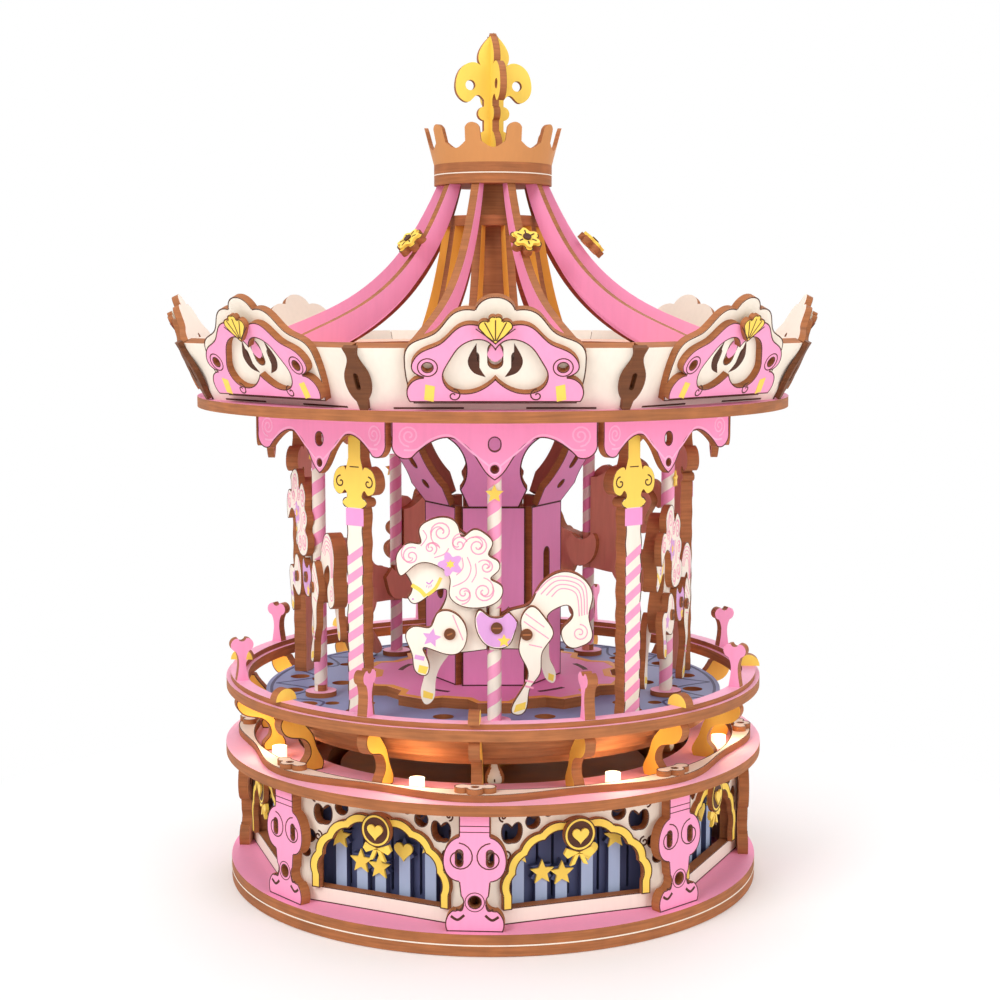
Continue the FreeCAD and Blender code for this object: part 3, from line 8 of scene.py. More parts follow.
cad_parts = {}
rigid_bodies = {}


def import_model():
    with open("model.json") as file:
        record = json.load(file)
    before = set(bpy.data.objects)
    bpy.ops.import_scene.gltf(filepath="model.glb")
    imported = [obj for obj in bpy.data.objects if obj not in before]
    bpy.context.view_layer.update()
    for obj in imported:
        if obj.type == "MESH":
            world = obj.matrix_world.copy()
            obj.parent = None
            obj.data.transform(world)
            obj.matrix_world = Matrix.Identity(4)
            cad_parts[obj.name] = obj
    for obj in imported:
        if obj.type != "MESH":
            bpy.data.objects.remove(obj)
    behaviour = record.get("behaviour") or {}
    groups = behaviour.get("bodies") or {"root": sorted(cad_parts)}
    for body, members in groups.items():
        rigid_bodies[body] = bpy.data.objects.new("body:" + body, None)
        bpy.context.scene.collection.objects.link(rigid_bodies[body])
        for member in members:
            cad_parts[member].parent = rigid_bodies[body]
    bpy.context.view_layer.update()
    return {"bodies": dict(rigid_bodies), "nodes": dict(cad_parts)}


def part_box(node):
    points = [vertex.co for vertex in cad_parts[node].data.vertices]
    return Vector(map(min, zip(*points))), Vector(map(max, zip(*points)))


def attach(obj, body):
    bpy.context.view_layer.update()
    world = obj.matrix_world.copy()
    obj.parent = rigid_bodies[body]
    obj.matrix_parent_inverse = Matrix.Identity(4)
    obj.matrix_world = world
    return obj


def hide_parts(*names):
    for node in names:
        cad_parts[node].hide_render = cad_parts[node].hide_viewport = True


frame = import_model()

nodes = frame["nodes"]
MM = 0.001

# Camera and studio. The photograph looks slightly down at the front, a little from the right of the
# drum's front pilaster, with a medium long lens, on a white ground.
scene = bpy.context.scene
scene.view_settings.view_transform = "Standard"
AXIS_DISTANCE, EYE_HEIGHT, PITCH, SIDE_STEP = 0.529, 0.174, 6.58, 3.4
AXIS_SHIFT = 0.0021
FOCAL_PIXELS, PHOTO_WIDTH, SENSOR = 1752.0, 1000.0, 36.0
camera_data = bpy.data.cameras.new("photo_camera")
camera_data.sensor_width = SENSOR
camera_data.lens = SENSOR * FOCAL_PIXELS / PHOTO_WIDTH
camera = bpy.data.objects.new("photo_camera", camera_data)
scene.collection.objects.link(camera)
swing = math.radians(SIDE_STEP)
right = Vector((math.cos(swing), math.sin(swing), 0))
spot = Vector((math.sin(swing), -math.cos(swing), 0)) * AXIS_DISTANCE + right * AXIS_SHIFT
camera.location = (spot.x, spot.y, EYE_HEIGHT)
camera.rotation_euler = (math.radians(90 - PITCH), 0, swing)
scene.camera = camera


def seen_directly(tree):
    """1 on the rays that show the ground and the room: from the camera, off gloss and through glass."""
    path = tree.nodes.new("ShaderNodeLightPath")
    seen = path.outputs["Is Camera Ray"]
    for ray in ("Is Glossy Ray", "Is Transmission Ray"):
        either = tree.nodes.new("ShaderNodeMath")
        either.operation = "MAXIMUM"
        tree.links.new(seen, either.inputs[0])
        tree.links.new(path.outputs[ray], either.inputs[1])
        seen = either.outputs[0]
    return seen


def white_ground():
    """White floor that keeps a soft shadow, and an even white room."""
    material = bpy.data.materials.new("white_floor")
    material.use_nodes = True
    tree = material.node_tree
    shader = tree.nodes["Principled BSDF"]
    shader.inputs["Base Color"].default_value = (1, 1, 1, 1)
    shader.inputs["Roughness"].default_value = 0.9
    where = tree.nodes.new("ShaderNodeTexCoord")
    away = tree.nodes.new("ShaderNodeVectorMath")
    away.operation = "LENGTH"
    fade = tree.nodes.new("ShaderNodeMapRange")
    fade.inputs["From Min"].default_value = 0.085
    fade.inputs["From Max"].default_value = 0.2
    white = tree.nodes.new("ShaderNodeEmission")
    blend = tree.nodes.new("ShaderNodeMixShader")
    tree.links.new(where.outputs["Object"], away.inputs[0])
    tree.links.new(away.outputs["Value"], fade.inputs["Value"])
    shown = tree.nodes.new("ShaderNodeMath")
    shown.operation = "MULTIPLY"
    tree.links.new(fade.outputs["Result"], shown.inputs[0])
    tree.links.new(seen_directly(tree), shown.inputs[1])
    tree.links.new(shown.outputs[0], blend.inputs[0])
    tree.links.new(shader.outputs[0], blend.inputs[1])
    tree.links.new(white.outputs[0], blend.inputs[2])
    tree.links.new(blend.outputs[0], tree.nodes["Material Output"].inputs["Surface"])
    mesh = bpy.data.meshes.new("floor")
    mesh.from_pydata([(-6, -6, 0), (6, -6, 0), (6, 6, 0), (-6, 6, 0)], [], [(0, 1, 2, 3)])
    mesh.materials.append(material)
    floor = bpy.data.objects.new("floor", mesh)
    floor.location.z = -0.0002
    scene.collection.objects.link(floor)
    world = bpy.data.worlds.new("white_room")
    scene.world = world
    world.use_nodes = True
    tree = world.node_tree
    back = tree.nodes["Background"]
    back.inputs["Color"].default_value = (1, 0.985, 0.97, 1)
    back.inputs["Strength"].default_value = 0.62
    shown = tree.nodes.new("ShaderNodeBackground")
    shown.inputs["Color"].default_value = (1, 1, 1, 1)
    mix = tree.nodes.new("ShaderNodeMixShader")
    tree.links.new(seen_directly(tree), mix.inputs[0])
    tree.links.new(back.outputs[0], mix.inputs[1])
    tree.links.new(shown.outputs[0], mix.inputs[2])
    tree.links.new(mix.outputs[0], tree.nodes["World Output"].inputs["Surface"])


def soft_light(name, place, aim, size, power):
    data = bpy.data.lights.new(name, "AREA")
    data.size = size
    data.energy = power
    lamp = bpy.data.objects.new(name, data)
    lamp.location = place
    lamp.rotation_euler = (Vector(aim) - Vector(place)).to_track_quat("-Z", "Y").to_euler()
    scene.collection.objects.link(lamp)


white_ground()
soft_light("key_light", (-0.55, -0.75, 0.75), (0, 0, 0.13), 0.5, 5.4)
soft_light("fill_light", (0.7, -0.7, 0.4), (0, 0, 0.12), 0.6, 3.0)
soft_light("top_light", (0.0, 0.1, 0.95), (0, 0, 0.15), 0.5, 2.2)
soft_light("back_light", (0.1, 0.9, 0.5), (0, 0, 0.15), 0.7, 2.4)


# Base. Two ply discs, glued on each other, carry the drum. The upper one is printed pink, and a pale
# band of painted highlight runs round the seam where they meet. Like every plate here they are birch
# ply, printed on the face, and the laser that cut them has browned the edge.
def linear(rgb):
    return tuple((c / 255 / 12.92) if c <= 10 else ((c / 255 + 0.055) / 1.055) ** 2.4 for c in rgb) + (1,)


def group_tree(name, inputs, outputs):
    tree = bpy.data.node_groups.new(name, "ShaderNodeTree")
    for label, kind in inputs:
        tree.interface.new_socket(label, in_out="INPUT", socket_type=kind)
    for label, kind in outputs:
        tree.interface.new_socket(label, in_out="OUTPUT", socket_type=kind)
    return tree, tree.nodes.new("NodeGroupInput"), tree.nodes.new("NodeGroupOutput")


def noise(tree, scale, detail, squeeze):
    """Noise over object coordinates, drawn out along one way by the squeeze."""
    where = tree.nodes.new("ShaderNodeTexCoord")
    mapping = tree.nodes.new("ShaderNodeMapping")
    mapping.inputs["Scale"].default_value = squeeze
    tree.links.new(where.outputs["Object"], mapping.inputs["Vector"])
    texture = tree.nodes.new("ShaderNodeTexNoise")
    texture.inputs["Scale"].default_value = scale
    texture.inputs["Detail"].default_value = detail
    tree.links.new(mapping.outputs["Vector"], texture.inputs["Vector"])
    return texture.outputs["Fac"]


def ramp(tree, source, low, high):
    node = tree.nodes.new("ShaderNodeMapRange")
    node.inputs["To Min"].default_value = low
    node.inputs["To Max"].default_value = high
    tree.links.new(source, node.inputs["Value"])
    return node.outputs["Result"]


def shade(tree, colour, value):
    """The colour, made lighter or darker by a value."""
    node = tree.nodes.new("ShaderNodeMix")
    node.data_type = "RGBA"
    node.blend_type = "MULTIPLY"
    node.inputs["Factor"].default_value = 1.0
    grey = tree.nodes.new("ShaderNodeCombineColor")
    for channel in ("Red", "Green", "Blue"):
        tree.links.new(value, grey.inputs[channel])
    tree.links.new(colour, node.inputs[6])
    tree.links.new(grey.outputs[0], node.inputs[7])
    return node.outputs[2]


def make_paint_group():
    """Grain and clouds of the ply that show through its paint."""
    tree, given, out = group_tree("printed_ply",
                                  [("Colour", "NodeSocketColor"), ("Grain", "NodeSocketFloat")],
                                  [("Colour", "NodeSocketColor"), ("Rough", "NodeSocketFloat"),
                                   ("Height", "NodeSocketFloat")])
    grain = noise(tree, 900.0, 4.0, (1.0, 1.0, 0.12))
    cloud = noise(tree, 60.0, 2.0, (1.0, 1.0, 1.0))
    fine = tree.nodes.new("ShaderNodeMath")
    fine.operation = "MULTIPLY"
    tree.links.new(ramp(tree, grain, -1.0, 1.0), fine.inputs[0])
    tree.links.new(given.outputs["Grain"], fine.inputs[1])
    total = tree.nodes.new("ShaderNodeMath")
    tree.links.new(fine.outputs[0], total.inputs[0])
    tree.links.new(ramp(tree, cloud, 0.95, 1.05), total.inputs[1])
    tree.links.new(shade(tree, given.outputs["Colour"], total.outputs[0]), out.inputs["Colour"])
    tree.links.new(ramp(tree, grain, 0.48, 0.68), out.inputs["Rough"])
    tree.links.new(grain, out.inputs["Height"])
    return tree


def make_edge_group():
    """The plies of a cut edge, browned unevenly by the laser."""
    tree, given, out = group_tree("scorched_edge", [("Colour", "NodeSocketColor")],
                                  [("Colour", "NodeSocketColor"), ("Rough", "NodeSocketFloat"),
                                   ("Height", "NodeSocketFloat")])
    plies = noise(tree, 520.0, 3.0, (0.16, 0.16, 3.2))
    scorch = noise(tree, 160.0, 3.0, (1.0, 1.0, 1.0))
    both = tree.nodes.new("ShaderNodeMath")
    both.operation = "MULTIPLY"
    tree.links.new(ramp(tree, plies, 0.55, 1.4), both.inputs[0])
    tree.links.new(ramp(tree, scorch, 0.7, 1.25), both.inputs[1])
    tree.links.new(shade(tree, given.outputs["Colour"], both.outputs[0]), out.inputs["Colour"])
    tree.links.new(ramp(tree, scorch, 0.55, 0.8), out.inputs["Rough"])
    tree.links.new(plies, out.inputs["Height"])
    return tree


paint_group, edge_group = make_paint_group(), make_edge_group()


def ply_material(name, rgb, group=paint_group, grain=0.05, bump=0.12):
    material = bpy.data.materials.new(name)
    material.use_nodes = True
    tree = material.node_tree
    shader = tree.nodes["Principled BSDF"]
    node = tree.nodes.new("ShaderNodeGroup")
    node.node_tree = group
    node.inputs["Colour"].default_value = linear(rgb)
    if "Grain" in node.inputs:
        node.inputs["Grain"].default_value = grain
    tree.links.new(node.outputs["Colour"], shader.inputs["Base Color"])
    tree.links.new(node.outputs["Rough"], shader.inputs["Roughness"])
    relief = tree.nodes.new("ShaderNodeBump")
    relief.inputs["Strength"].default_value = bump
    relief.inputs["Distance"].default_value = 0.0002
    tree.links.new(node.outputs["Height"], relief.inputs["Height"])
    tree.links.new(relief.outputs["Normal"], shader.inputs["Normal"])
    shader.inputs["Specular IOR Level"].default_value = 0.3
    return material


pink = ply_material("rose_pink_print", (246, 158, 196))
cream = ply_material("cream_print", (244, 234, 219))
bare = ply_material("unprinted_birch", (226, 164, 132), grain=0.12)
edge = ply_material("scorched_ply_edge", (168, 104, 62), edge_group, bump=0.3)
FACING, SQUARE = 0.7, 0.995


def body_name(node):
    """The body that a node belongs to."""
    return next(name for name, empty in frame["bodies"].items() if empty == nodes[node].parent)


def dress(node, direction, front, back, rim, outline=0.0, beyond=None):
    """A copy of a node with a finish for its front, back and edge. Burnt lines go along its front faces,
    or only those that stand out beyond a distance from the axis."""
    mesh = nodes[node].data.copy()
    mesh.name = node + "_plates"
    mesh.materials.clear()
    for material in (front, back, rim):
        mesh.materials.append(material)
    flat_front = []
    for polygon in mesh.polygons:
        way = direction(polygon.center)
        facing = polygon.normal.dot(way)
        polygon.material_index = 0 if facing > FACING else 1 if facing < -FACING else 2
        if facing > SQUARE and (beyond is None or polygon.center.dot(way) > beyond * MM):
            flat_front.append(polygon)
    piece = bpy.data.objects.new(mesh.name, mesh)
    scene.collection.objects.link(piece)
    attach(piece, body_name(node))
    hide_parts(node)
    if outline:
        burnt_outline(node, mesh, flat_front, outline)


def upward(centre):
    return Vector((0, 0, 1))


dress("base_disc_lower", upward, edge, bare, edge)
dress("base_disc_upper", upward, pink, bare, edge)
BASE_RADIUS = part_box("base_disc_lower")[1].x / MM


def seam_highlight_line(name, radius, height, tall, body):
    """A painted highlight: a thin pale band round the edge of a stack of discs, where two plies meet."""
    mesh = bpy.data.meshes.new(name)
    steps = 180
    rows = [(radius - 0.3, height), (radius + 0.02, height),
            (radius + 0.02, height + tall), (radius - 0.3, height + tall)]
    points = [(r * MM * math.cos(math.tau * k / steps), r * MM * math.sin(math.tau * k / steps), z * MM)
              for k in range(steps) for r, z in rows]
    faces = [(4 * k + j, 4 * ((k + 1) % steps) + j, 4 * ((k + 1) % steps) + (j + 1) % 4, 4 * k + (j + 1) % 4)
             for k in range(steps) for j in range(4)]
    mesh.from_pydata(points, [], faces)
    mesh.materials.append(cream)
    piece = bpy.data.objects.new(name, mesh)
    scene.collection.objects.link(piece)
    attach(piece, body)


# A pale band of painted highlight along the seam of the two base discs.
seam_highlight_line("base_seam_highlight", BASE_RADIUS + 0.04, 2.8, 0.35, "base")

# Drum front. Cream panels carry gilt arches over the organ pipes. Each medallion holds a plain heart
# over a bow, the pipes carry gilt stars and hearts, and the pilasters have burnt scrolls and rings.
# All are ply, glued on each other round the drum.
gold = ply_material("yellow_gold_print", (248, 212, 92))
night = ply_material("night_blue_print", (74, 80, 116))
sky = ply_material("pale_blue_print", (168, 184, 214))
burnt = ply_material("burnt_line", (84, 48, 34), edge_group)
SIDES, HALF_SIDE = 8, 22.5
PRINT_LIFT, PRINT_THICK = 0.04, 0.06


def burnt_outline(node, mesh, flat_front, width):
    """The dark line that the laser leaves along every cut edge of a printed face."""
    uses = {}
    for polygon in flat_front:
        for key in polygon.edge_keys:
            uses.setdefault(key, []).append(polygon)
    points, quads = [], []
    for (first, second), owners in uses.items():
        if len(owners) != 1:
            continue
        face = owners[0]
        a, b = mesh.vertices[first].co, mesh.vertices[second].co
        along = (b - a).normalized()
        inward = face.center - a
        inward = (inward - along * inward.dot(along)).normalized() * width * MM
        above = face.normal * PRINT_LIFT * MM
        start = len(points)
        points += [a + above, b + above, b + inward + above, a + inward + above]
        quad = (start, start + 1, start + 2, start + 3)
        quads.append(quad if along.cross(inward).dot(face.normal) > 0 else tuple(reversed(quad)))
    data = bpy.data.meshes.new(node + "_burnt_outline")
    data.from_pydata([tuple(point) for point in points], [], quads)
    data.materials.append(burnt)
    piece = bpy.data.objects.new(data.name, data)
    scene.collection.objects.link(piece)
    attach(piece, body_name(node))


def outward(count, turn=0.0, tilt=0.0):
    """Which way the plate points that a place belongs to, of a ring of plates."""
    step = 360.0 / count

    def way(centre):
        angle = math.degrees(math.atan2(centre.x, -centre.y))
        angle = math.radians(turn + round((angle - turn) / step) * step)
        lean = math.radians(tilt)
        return Vector((math.sin(angle) * math.cos(lean), -math.cos(angle) * math.cos(lean), -math.sin(lean)))
    return way


def ring_tree():
    """The node tree that sets a print round the axis, once for each plate of a ring."""
    tree = bpy.data.node_groups.new("set_round_the_axis", "GeometryNodeTree")
    tree.interface.new_socket("Geometry", in_out="INPUT", socket_type="NodeSocketGeometry")
    tree.interface.new_socket("Count", in_out="INPUT", socket_type="NodeSocketInt")
    tree.interface.new_socket("Finish", in_out="INPUT", socket_type="NodeSocketMaterial")
    tree.interface.new_socket("Geometry", in_out="OUTPUT", socket_type="NodeSocketGeometry")
    given, out = tree.nodes.new("NodeGroupInput"), tree.nodes.new("NodeGroupOutput")
    places = tree.nodes.new("GeometryNodeMeshLine")
    places.inputs["Offset"].default_value = (0, 0, 0)
    index = tree.nodes.new("GeometryNodeInputIndex")
    step = tree.nodes.new("ShaderNodeMath")
    step.operation = "DIVIDE"
    step.inputs[0].default_value = math.tau
    angle = tree.nodes.new("ShaderNodeMath")
    angle.operation = "MULTIPLY"
    spin = tree.nodes.new("ShaderNodeCombineXYZ")
    copies = tree.nodes.new("GeometryNodeInstanceOnPoints")
    real = tree.nodes.new("GeometryNodeRealizeInstances")
    finish = tree.nodes.new("GeometryNodeSetMaterial")
    link = tree.links.new
    link(given.outputs["Count"], places.inputs["Count"])
    link(given.outputs["Count"], step.inputs[1])
    link(index.outputs[0], angle.inputs[0])
    link(step.outputs[0], angle.inputs[1])
    link(angle.outputs[0], spin.inputs["Z"])
    link(places.outputs["Mesh"], copies.inputs["Points"])
    link(given.outputs["Geometry"], copies.inputs["Instance"])
    link(spin.outputs[0], copies.inputs["Rotation"])
    link(copies.outputs["Instances"], real.inputs["Geometry"])
    link(real.outputs["Geometry"], finish.inputs["Geometry"])
    link(given.outputs["Finish"], finish.inputs["Material"])
    link(finish.outputs["Geometry"], out.inputs["Geometry"])
    return tree


around_axis = ring_tree()


class Print:
    """Flat shapes drawn on a plate, x along it and y up it, each as a thin closed layer."""

    def __init__(self):
        self.mesh = bmesh.new()

    def line(self, points, width, closed=False, thick=PRINT_THICK):
        """A stroke along the points."""
        count = len(points)
        rows = []
        for k in range(count):
            before = Vector(points[k - 1] if k or closed else points[k])
            after = Vector(points[(k + 1) % count] if k < count - 1 or closed else points[k])
            way = (after - before).normalized()
            side = Vector((-way.y, way.x)) * width / 2
            spot = Vector(points[k])
            rows.append([self.mesh.verts.new((*(spot + side * s), n)) for s, n in
                         ((1, 0), (-1, 0), (-1, thick), (1, thick))])
        for k in range(count if closed else count - 1):
            a, b = rows[k], rows[(k + 1) % count]
            for j in range(4):
                self.mesh.faces.new((a[j], a[(j + 1) % 4], b[(j + 1) % 4], b[j]))
        if not closed:
            self.mesh.faces.new(rows[0])
            self.mesh.faces.new(rows[-1])
        return self

    def fill(self, points, thick=PRINT_THICK, lift=0.0):
        """A filled shape with the points as its outline."""
        low = [self.mesh.verts.new((*p, lift)) for p in points]
        high = [self.mesh.verts.new((*p, lift + thick)) for p in points]
        self.mesh.faces.new(low)
        self.mesh.faces.new(high)
        for k in range(len(points)):
            j = (k + 1) % len(points)
            self.mesh.faces.new((low[k], low[j], high[j], high[k]))
        return self

    def place(self, name, material, out, lift=0.0, turn=0.0, tilt=0.0, flat=False):
        """The drawn layer as an object, on a plate that stands out from the axis, or lies flat."""
        bmesh.ops.recalc_face_normals(self.mesh, faces=self.mesh.faces)
        mesh = bpy.data.meshes.new(name)
        self.mesh.to_mesh(mesh)
        self.mesh.free()
        stand = Matrix(((1, 0, 0, 0), (0, 0, -1, 0), (0, 1, 0, 0), (0, 0, 0, 1)))
        if flat:
            pose = Matrix.Translation((0, 0, lift))
        else:
            pose = Matrix.Translation((0, -out, lift)) @ stand @ Matrix.Rotation(math.radians(tilt), 4, "X")
        mesh.transform(Matrix.Scale(MM, 4) @ Matrix.Rotation(math.radians(turn), 4, "Z") @ pose)
        mesh.materials.append(material)
        piece = bpy.data.objects.new(name, mesh)
        scene.collection.objects.link(piece)
        return piece


def set_round(piece, count, body):
    """Repeats a piece round the axis, as one plain mesh that rides on a body."""
    material = piece.data.materials[0]
    modifier = piece.modifiers.new("ring", "NODES")
    modifier.node_group = around_axis
    for item in around_axis.interface.items_tree:
        if item.item_type == "SOCKET" and item.in_out == "INPUT" and item.name in ("Count", "Finish"):
            modifier[item.identifier] = count if item.name == "Count" else material
    graph = bpy.context.evaluated_depsgraph_get()
    mesh = bpy.data.meshes.new_from_object(piece.evaluated_get(graph))
    piece.modifiers.remove(modifier)
    piece.data = mesh
    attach(piece, body)
    return piece


def arc(x, y, radius, start, end, steps=14):
    """Points round part of a circle, in degrees from the right."""
    return [(x + radius * math.cos(math.radians(start + (end - start) * k / steps)),
             y + radius * math.sin(math.radians(start + (end - start) * k / steps)))
            for k in range(steps + 1)]


def curl(x, y, radius, start, turns, steps=26):
    """A spiral that winds in to its middle."""
    points = []
    for k in range(steps + 1):
        share = k / steps
        angle = math.radians(start + 360 * turns * share)
        points.append((x + radius * (1 - 0.86 * share) * math.cos(angle),
                       y + radius * (1 - 0.86 * share) * math.sin(angle)))
    return points


def smooth(points, steps=6):
    """Points along a smooth line through the given ones."""
    spots = [Vector(p) for p in points]
    line = []
    for k in range(len(spots) - 1):
        a, b, c, d = spots[max(k - 1, 0)], spots[k], spots[k + 1], spots[min(k + 2, len(spots) - 1)]
        for j in range(steps):
            t = j / steps
            p = 0.5 * ((2 * b) + (c - a) * t + (2 * a - 5 * b + 4 * c - d) * t * t
                       + (3 * b - a - 3 * c + d) * t ** 3)
            line.append((p.x, p.y))
    line.append(tuple(spots[-1]))
    return line


def star_points(x, y, outer, inner, count=5, turn=0.0):
    return [(x + (outer, inner)[k % 2] * math.sin(math.radians(turn + 180 * k / count)),
             y + (outer, inner)[k % 2] * math.cos(math.radians(turn + 180 * k / count)))
            for k in range(2 * count)]


def heart_points(x, y, size):
    """Outline of a heart, from the usual formula."""
    points = []
    for k in range(28):
        t = math.tau * k / 28
        height = 13 * math.cos(t) - 5 * math.cos(2 * t) - 2 * math.cos(3 * t) - math.cos(4 * t)
        points.append((x + size * math.sin(t) ** 3, y + size * height / 16))
    return points


def top_of(node):
    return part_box(node)[1].z / MM


def foot_of(node):
    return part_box(node)[0].z / MM


CUT_LINE = 0.32
dress("drum_panels", outward(SIDES, HALF_SIDE), cream, bare, edge, CUT_LINE)
dress("window_trims", outward(SIDES, HALF_SIDE), gold, bare, edge, CUT_LINE)
# The pipe plate's cut edges take its dark blue print colour in place of the brown laser edge: painted shade
# in the narrow gaps between the pipes.
dress("organ_pipes", outward(SIDES, HALF_SIDE), night, bare, night)
dress("pilasters", outward(SIDES), pink, bare, edge, CUT_LINE)
BASE_TOP, DECK = top_of("base_disc_upper"), foot_of("mid_deck")
PANEL_FACE, TRIM_FACE, MEDAL_FACE = 69.7, 71.2, 72.7
WINDOW_SILL, WINDOW_HEIGHT, TRIM_WIDTH = 4.5, 22.0, 2.6
MEDAL_Y = BASE_TOP + WINDOW_SILL + WINDOW_HEIGHT - TRIM_WIDTH
disc_print = Print().fill(arc(0, MEDAL_Y, 3.7, 0, 352, 32))
set_round(disc_print.place("medallion_grounds", burnt, MEDAL_FACE, turn=HALF_SIDE), SIDES, "base")
heart = Print().fill(heart_points(0, MEDAL_Y - 0.1, 2.4), thick=0.5)
set_round(heart.place("medallion_hearts", gold, MEDAL_FACE + 0.06, turn=HALF_SIDE), SIDES, "base")
bow = Print()
for side in (-1, 1):
    for loop_or_tail in (((0, 5.2), (3.6, 3.8), (4.4, 5.4), (3.4, 6.6)),
                         ((0, 5.6), (1.2, 5.8), (2.6, 8.8), (1.3, 8.4))):
        bow.fill([(side * x, MEDAL_Y - drop) for x, drop in loop_or_tail], 1.0)
set_round(bow.place("medallion_bows", gold, TRIM_FACE, turn=HALF_SIDE), SIDES, "base")
PIPE_WIDTH, PIPE_FACE = 3.6, 65.5
PIPE_PITCH = PIPE_WIDTH * 1.25
pipes, stars = Print(), Print()
STAR_REACH, HEART_REACH, NOTCH = 3.6, 2.9, 0.44
for place, share, shape in ((-3.4, 0.52, "star"), (-1.9, 0.24, "star"), (-0.6, 0.2, "star"),
                            (1.1, 0.46, "heart"), (2.9, 0.6, "star")):
    x, high = place * PIPE_PITCH, BASE_TOP + WINDOW_SILL + share * WINDOW_HEIGHT
    pipes.fill([(x - 1.7, BASE_TOP + 0.2), (x + 1.7, BASE_TOP + 0.2),
                (x + 1.7, high + 1), (x - 1.7, high + 1)])
    if shape == "heart":
        stars.fill(heart_points(x, high + 2.4, HEART_REACH), 0.7, 0.1)
    else:
        stars.fill(star_points(x, high + 2.4, STAR_REACH, STAR_REACH * NOTCH), 0.7, 0.1)
set_round(pipes.place("organ_pipe_fronts", sky, PIPE_FACE, turn=HALF_SIDE), SIDES, "base")
set_round(stars.place("organ_pipe_tops", gold, PIPE_FACE, turn=HALF_SIDE), SIDES, "base")
PILASTER_FACE = -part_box("pilasters")[0].y / MM
SPAN = DECK - BASE_TOP
lines = Print()
for y in (0.84, 0.89):
    lines.line([(-4.2, BASE_TOP + SPAN * y), (4.2, BASE_TOP + SPAN * y)], 0.22)
for side in (-1, 1):
    lines.line(curl(side * 4.2, BASE_TOP + SPAN * 0.62, 4.2, 90, 1.4 * side), 0.34)
    lines.line(smooth([(side * 6.4, BASE_TOP + SPAN * 0.13), (side * 4.6, BASE_TOP + SPAN * 0.1),
                       (side * 2.8, BASE_TOP + SPAN * 0.14)]), 0.7)
    lines.line(smooth([(side * 5.0, BASE_TOP + SPAN * 0.19), (side * 3.6, BASE_TOP + SPAN * 0.18),
                       (side * 3.0, BASE_TOP + SPAN * 0.23)]), 0.5)
lines.line(arc(0, BASE_TOP + SPAN * 0.25, 2.6, 0, 350, 28), 0.22, closed=True)
set_round(lines.place("pilaster_lines", burnt, PILASTER_FACE), SIDES, "base")
corners = Print()
for side in (-1, 1):
    for x, drop, radius, start in ((12.4, 2.9, 1.7, 200), (20.2, 13.6, 1.5, 90), (21.0, 2.6, 1.3, 270)):
        corners.line(curl(side * x, DECK - drop, radius, start, 1.3 * side, 18), 0.5)
set_round(corners.place("panel_corner_curls", burnt, PANEL_FACE, turn=HALF_SIDE), SIDES, "base")

# Deck and rail. A pink deck with a cream trim carries gilt scroll brackets, which hold the rail with
# its finials and knobs. All are cut from ply, and each is glued on the one below it.
pale_pink = ply_material("pale_pink_print", (250, 186, 214))
amber = ply_material("amber_print", (240, 180, 74))


def sideways(count, turn=0.0):
    """Which way a radial plate's face points."""
    step = 360.0 / count

    def way(centre):
        angle = math.degrees(math.atan2(centre.x, -centre.y))
        angle = math.radians(turn + round((angle - turn) / step) * step)
        return Vector((math.cos(angle), math.sin(angle), 0))
    return way


dress("mid_deck", upward, pale_pink, bare, edge)
dress("deck_trim_ring", upward, cream, bare, edge, CUT_LINE)
BRACKETS = 16
dress("scroll_brackets", sideways(BRACKETS), amber, amber, edge, CUT_LINE)
dress("rail_rings", upward, pale_pink, bare, edge)
dress("rail_finials", sideways(SIDES, HALF_SIDE), pink, pink, edge)
dress("rail_knobs", sideways(SIDES), gold, gold, edge)


# Inside of the drum. The cam track, the board and its pillars are bare ply, the movement is brass and
# steel, and the battery box and switch are black mouldings. The movement's plate is screwed to the base.
def metal(name, rgb, rough):
    material = ply_material(name, rgb, bump=0.05)
    shader = material.node_tree.nodes["Principled BSDF"]
    shader.inputs["Metallic"].default_value = 1.0
    material.node_tree.links.remove(shader.inputs["Roughness"].links[0])
    shader.inputs["Roughness"].default_value = rough
    return material


def finish_all(names, material):
    """One finish for the whole of some nodes."""
    for name in names:
        for place in nodes[name].material_slots:
            place.link = "OBJECT"
            place.material = material


brass = metal("movement_brass", (214, 170, 96), 0.3)
steel = metal("movement_steel", (186, 188, 194), 0.35)
plastic = ply_material("black_moulding", (28, 28, 30), bump=0.03)
finish_all(("cam_ring", "bearing_board", "board_pillars"), edge)
finish_all(("centre_bearing", "spring_barrel", "great_wheel", "winding_key", "music_cylinder",
            "governor_fly"), brass)
finish_all(("movement_bedplate", "movement_screws", "tone_comb", "drive_shaft"), steel)
finish_all(("battery_box", "battery_cells", "switch_housing", "switch_slider"), plastic)

# Lamps. Small warm diodes of frosted plastic stand on the deck between the brackets. A weak light over
# each, fixed to the base, falls on the brackets beside it.
lamp_glow = bpy.data.materials.new("warm_diode")
lamp_glow.use_nodes = True
glow = lamp_glow.node_tree.nodes["Principled BSDF"]
glow.inputs["Base Color"].default_value = (1, 0.93, 0.78, 1)
glow.inputs["Emission Color"].default_value = (1, 0.82, 0.52, 1)
glow.inputs["Emission Strength"].default_value = 1.5
finish_all(("lamps",), lamp_glow)
LAMP_TURN, GLOW_CIRCLE, GLOW_RISE = HALF_SIDE + 9.0, 0.0735, 0.004
for k in range(SIDES):
    angle = math.radians(LAMP_TURN + 2 * HALF_SIDE * k)
    data = bpy.data.lights.new("diode_light_%d" % k, "POINT")
    data.energy = 0.005
    data.color = (1, 0.72, 0.38)
    data.shadow_soft_size = 0.002
    light = bpy.data.objects.new("diode_light_%d" % k, data)
    light.location = (GLOW_CIRCLE * math.sin(angle), -GLOW_CIRCLE * math.cos(angle),
                      top_of("lamps") * MM + GLOW_RISE)
    scene.collection.objects.link(light)
    light.parent = frame["bodies"]["base"]
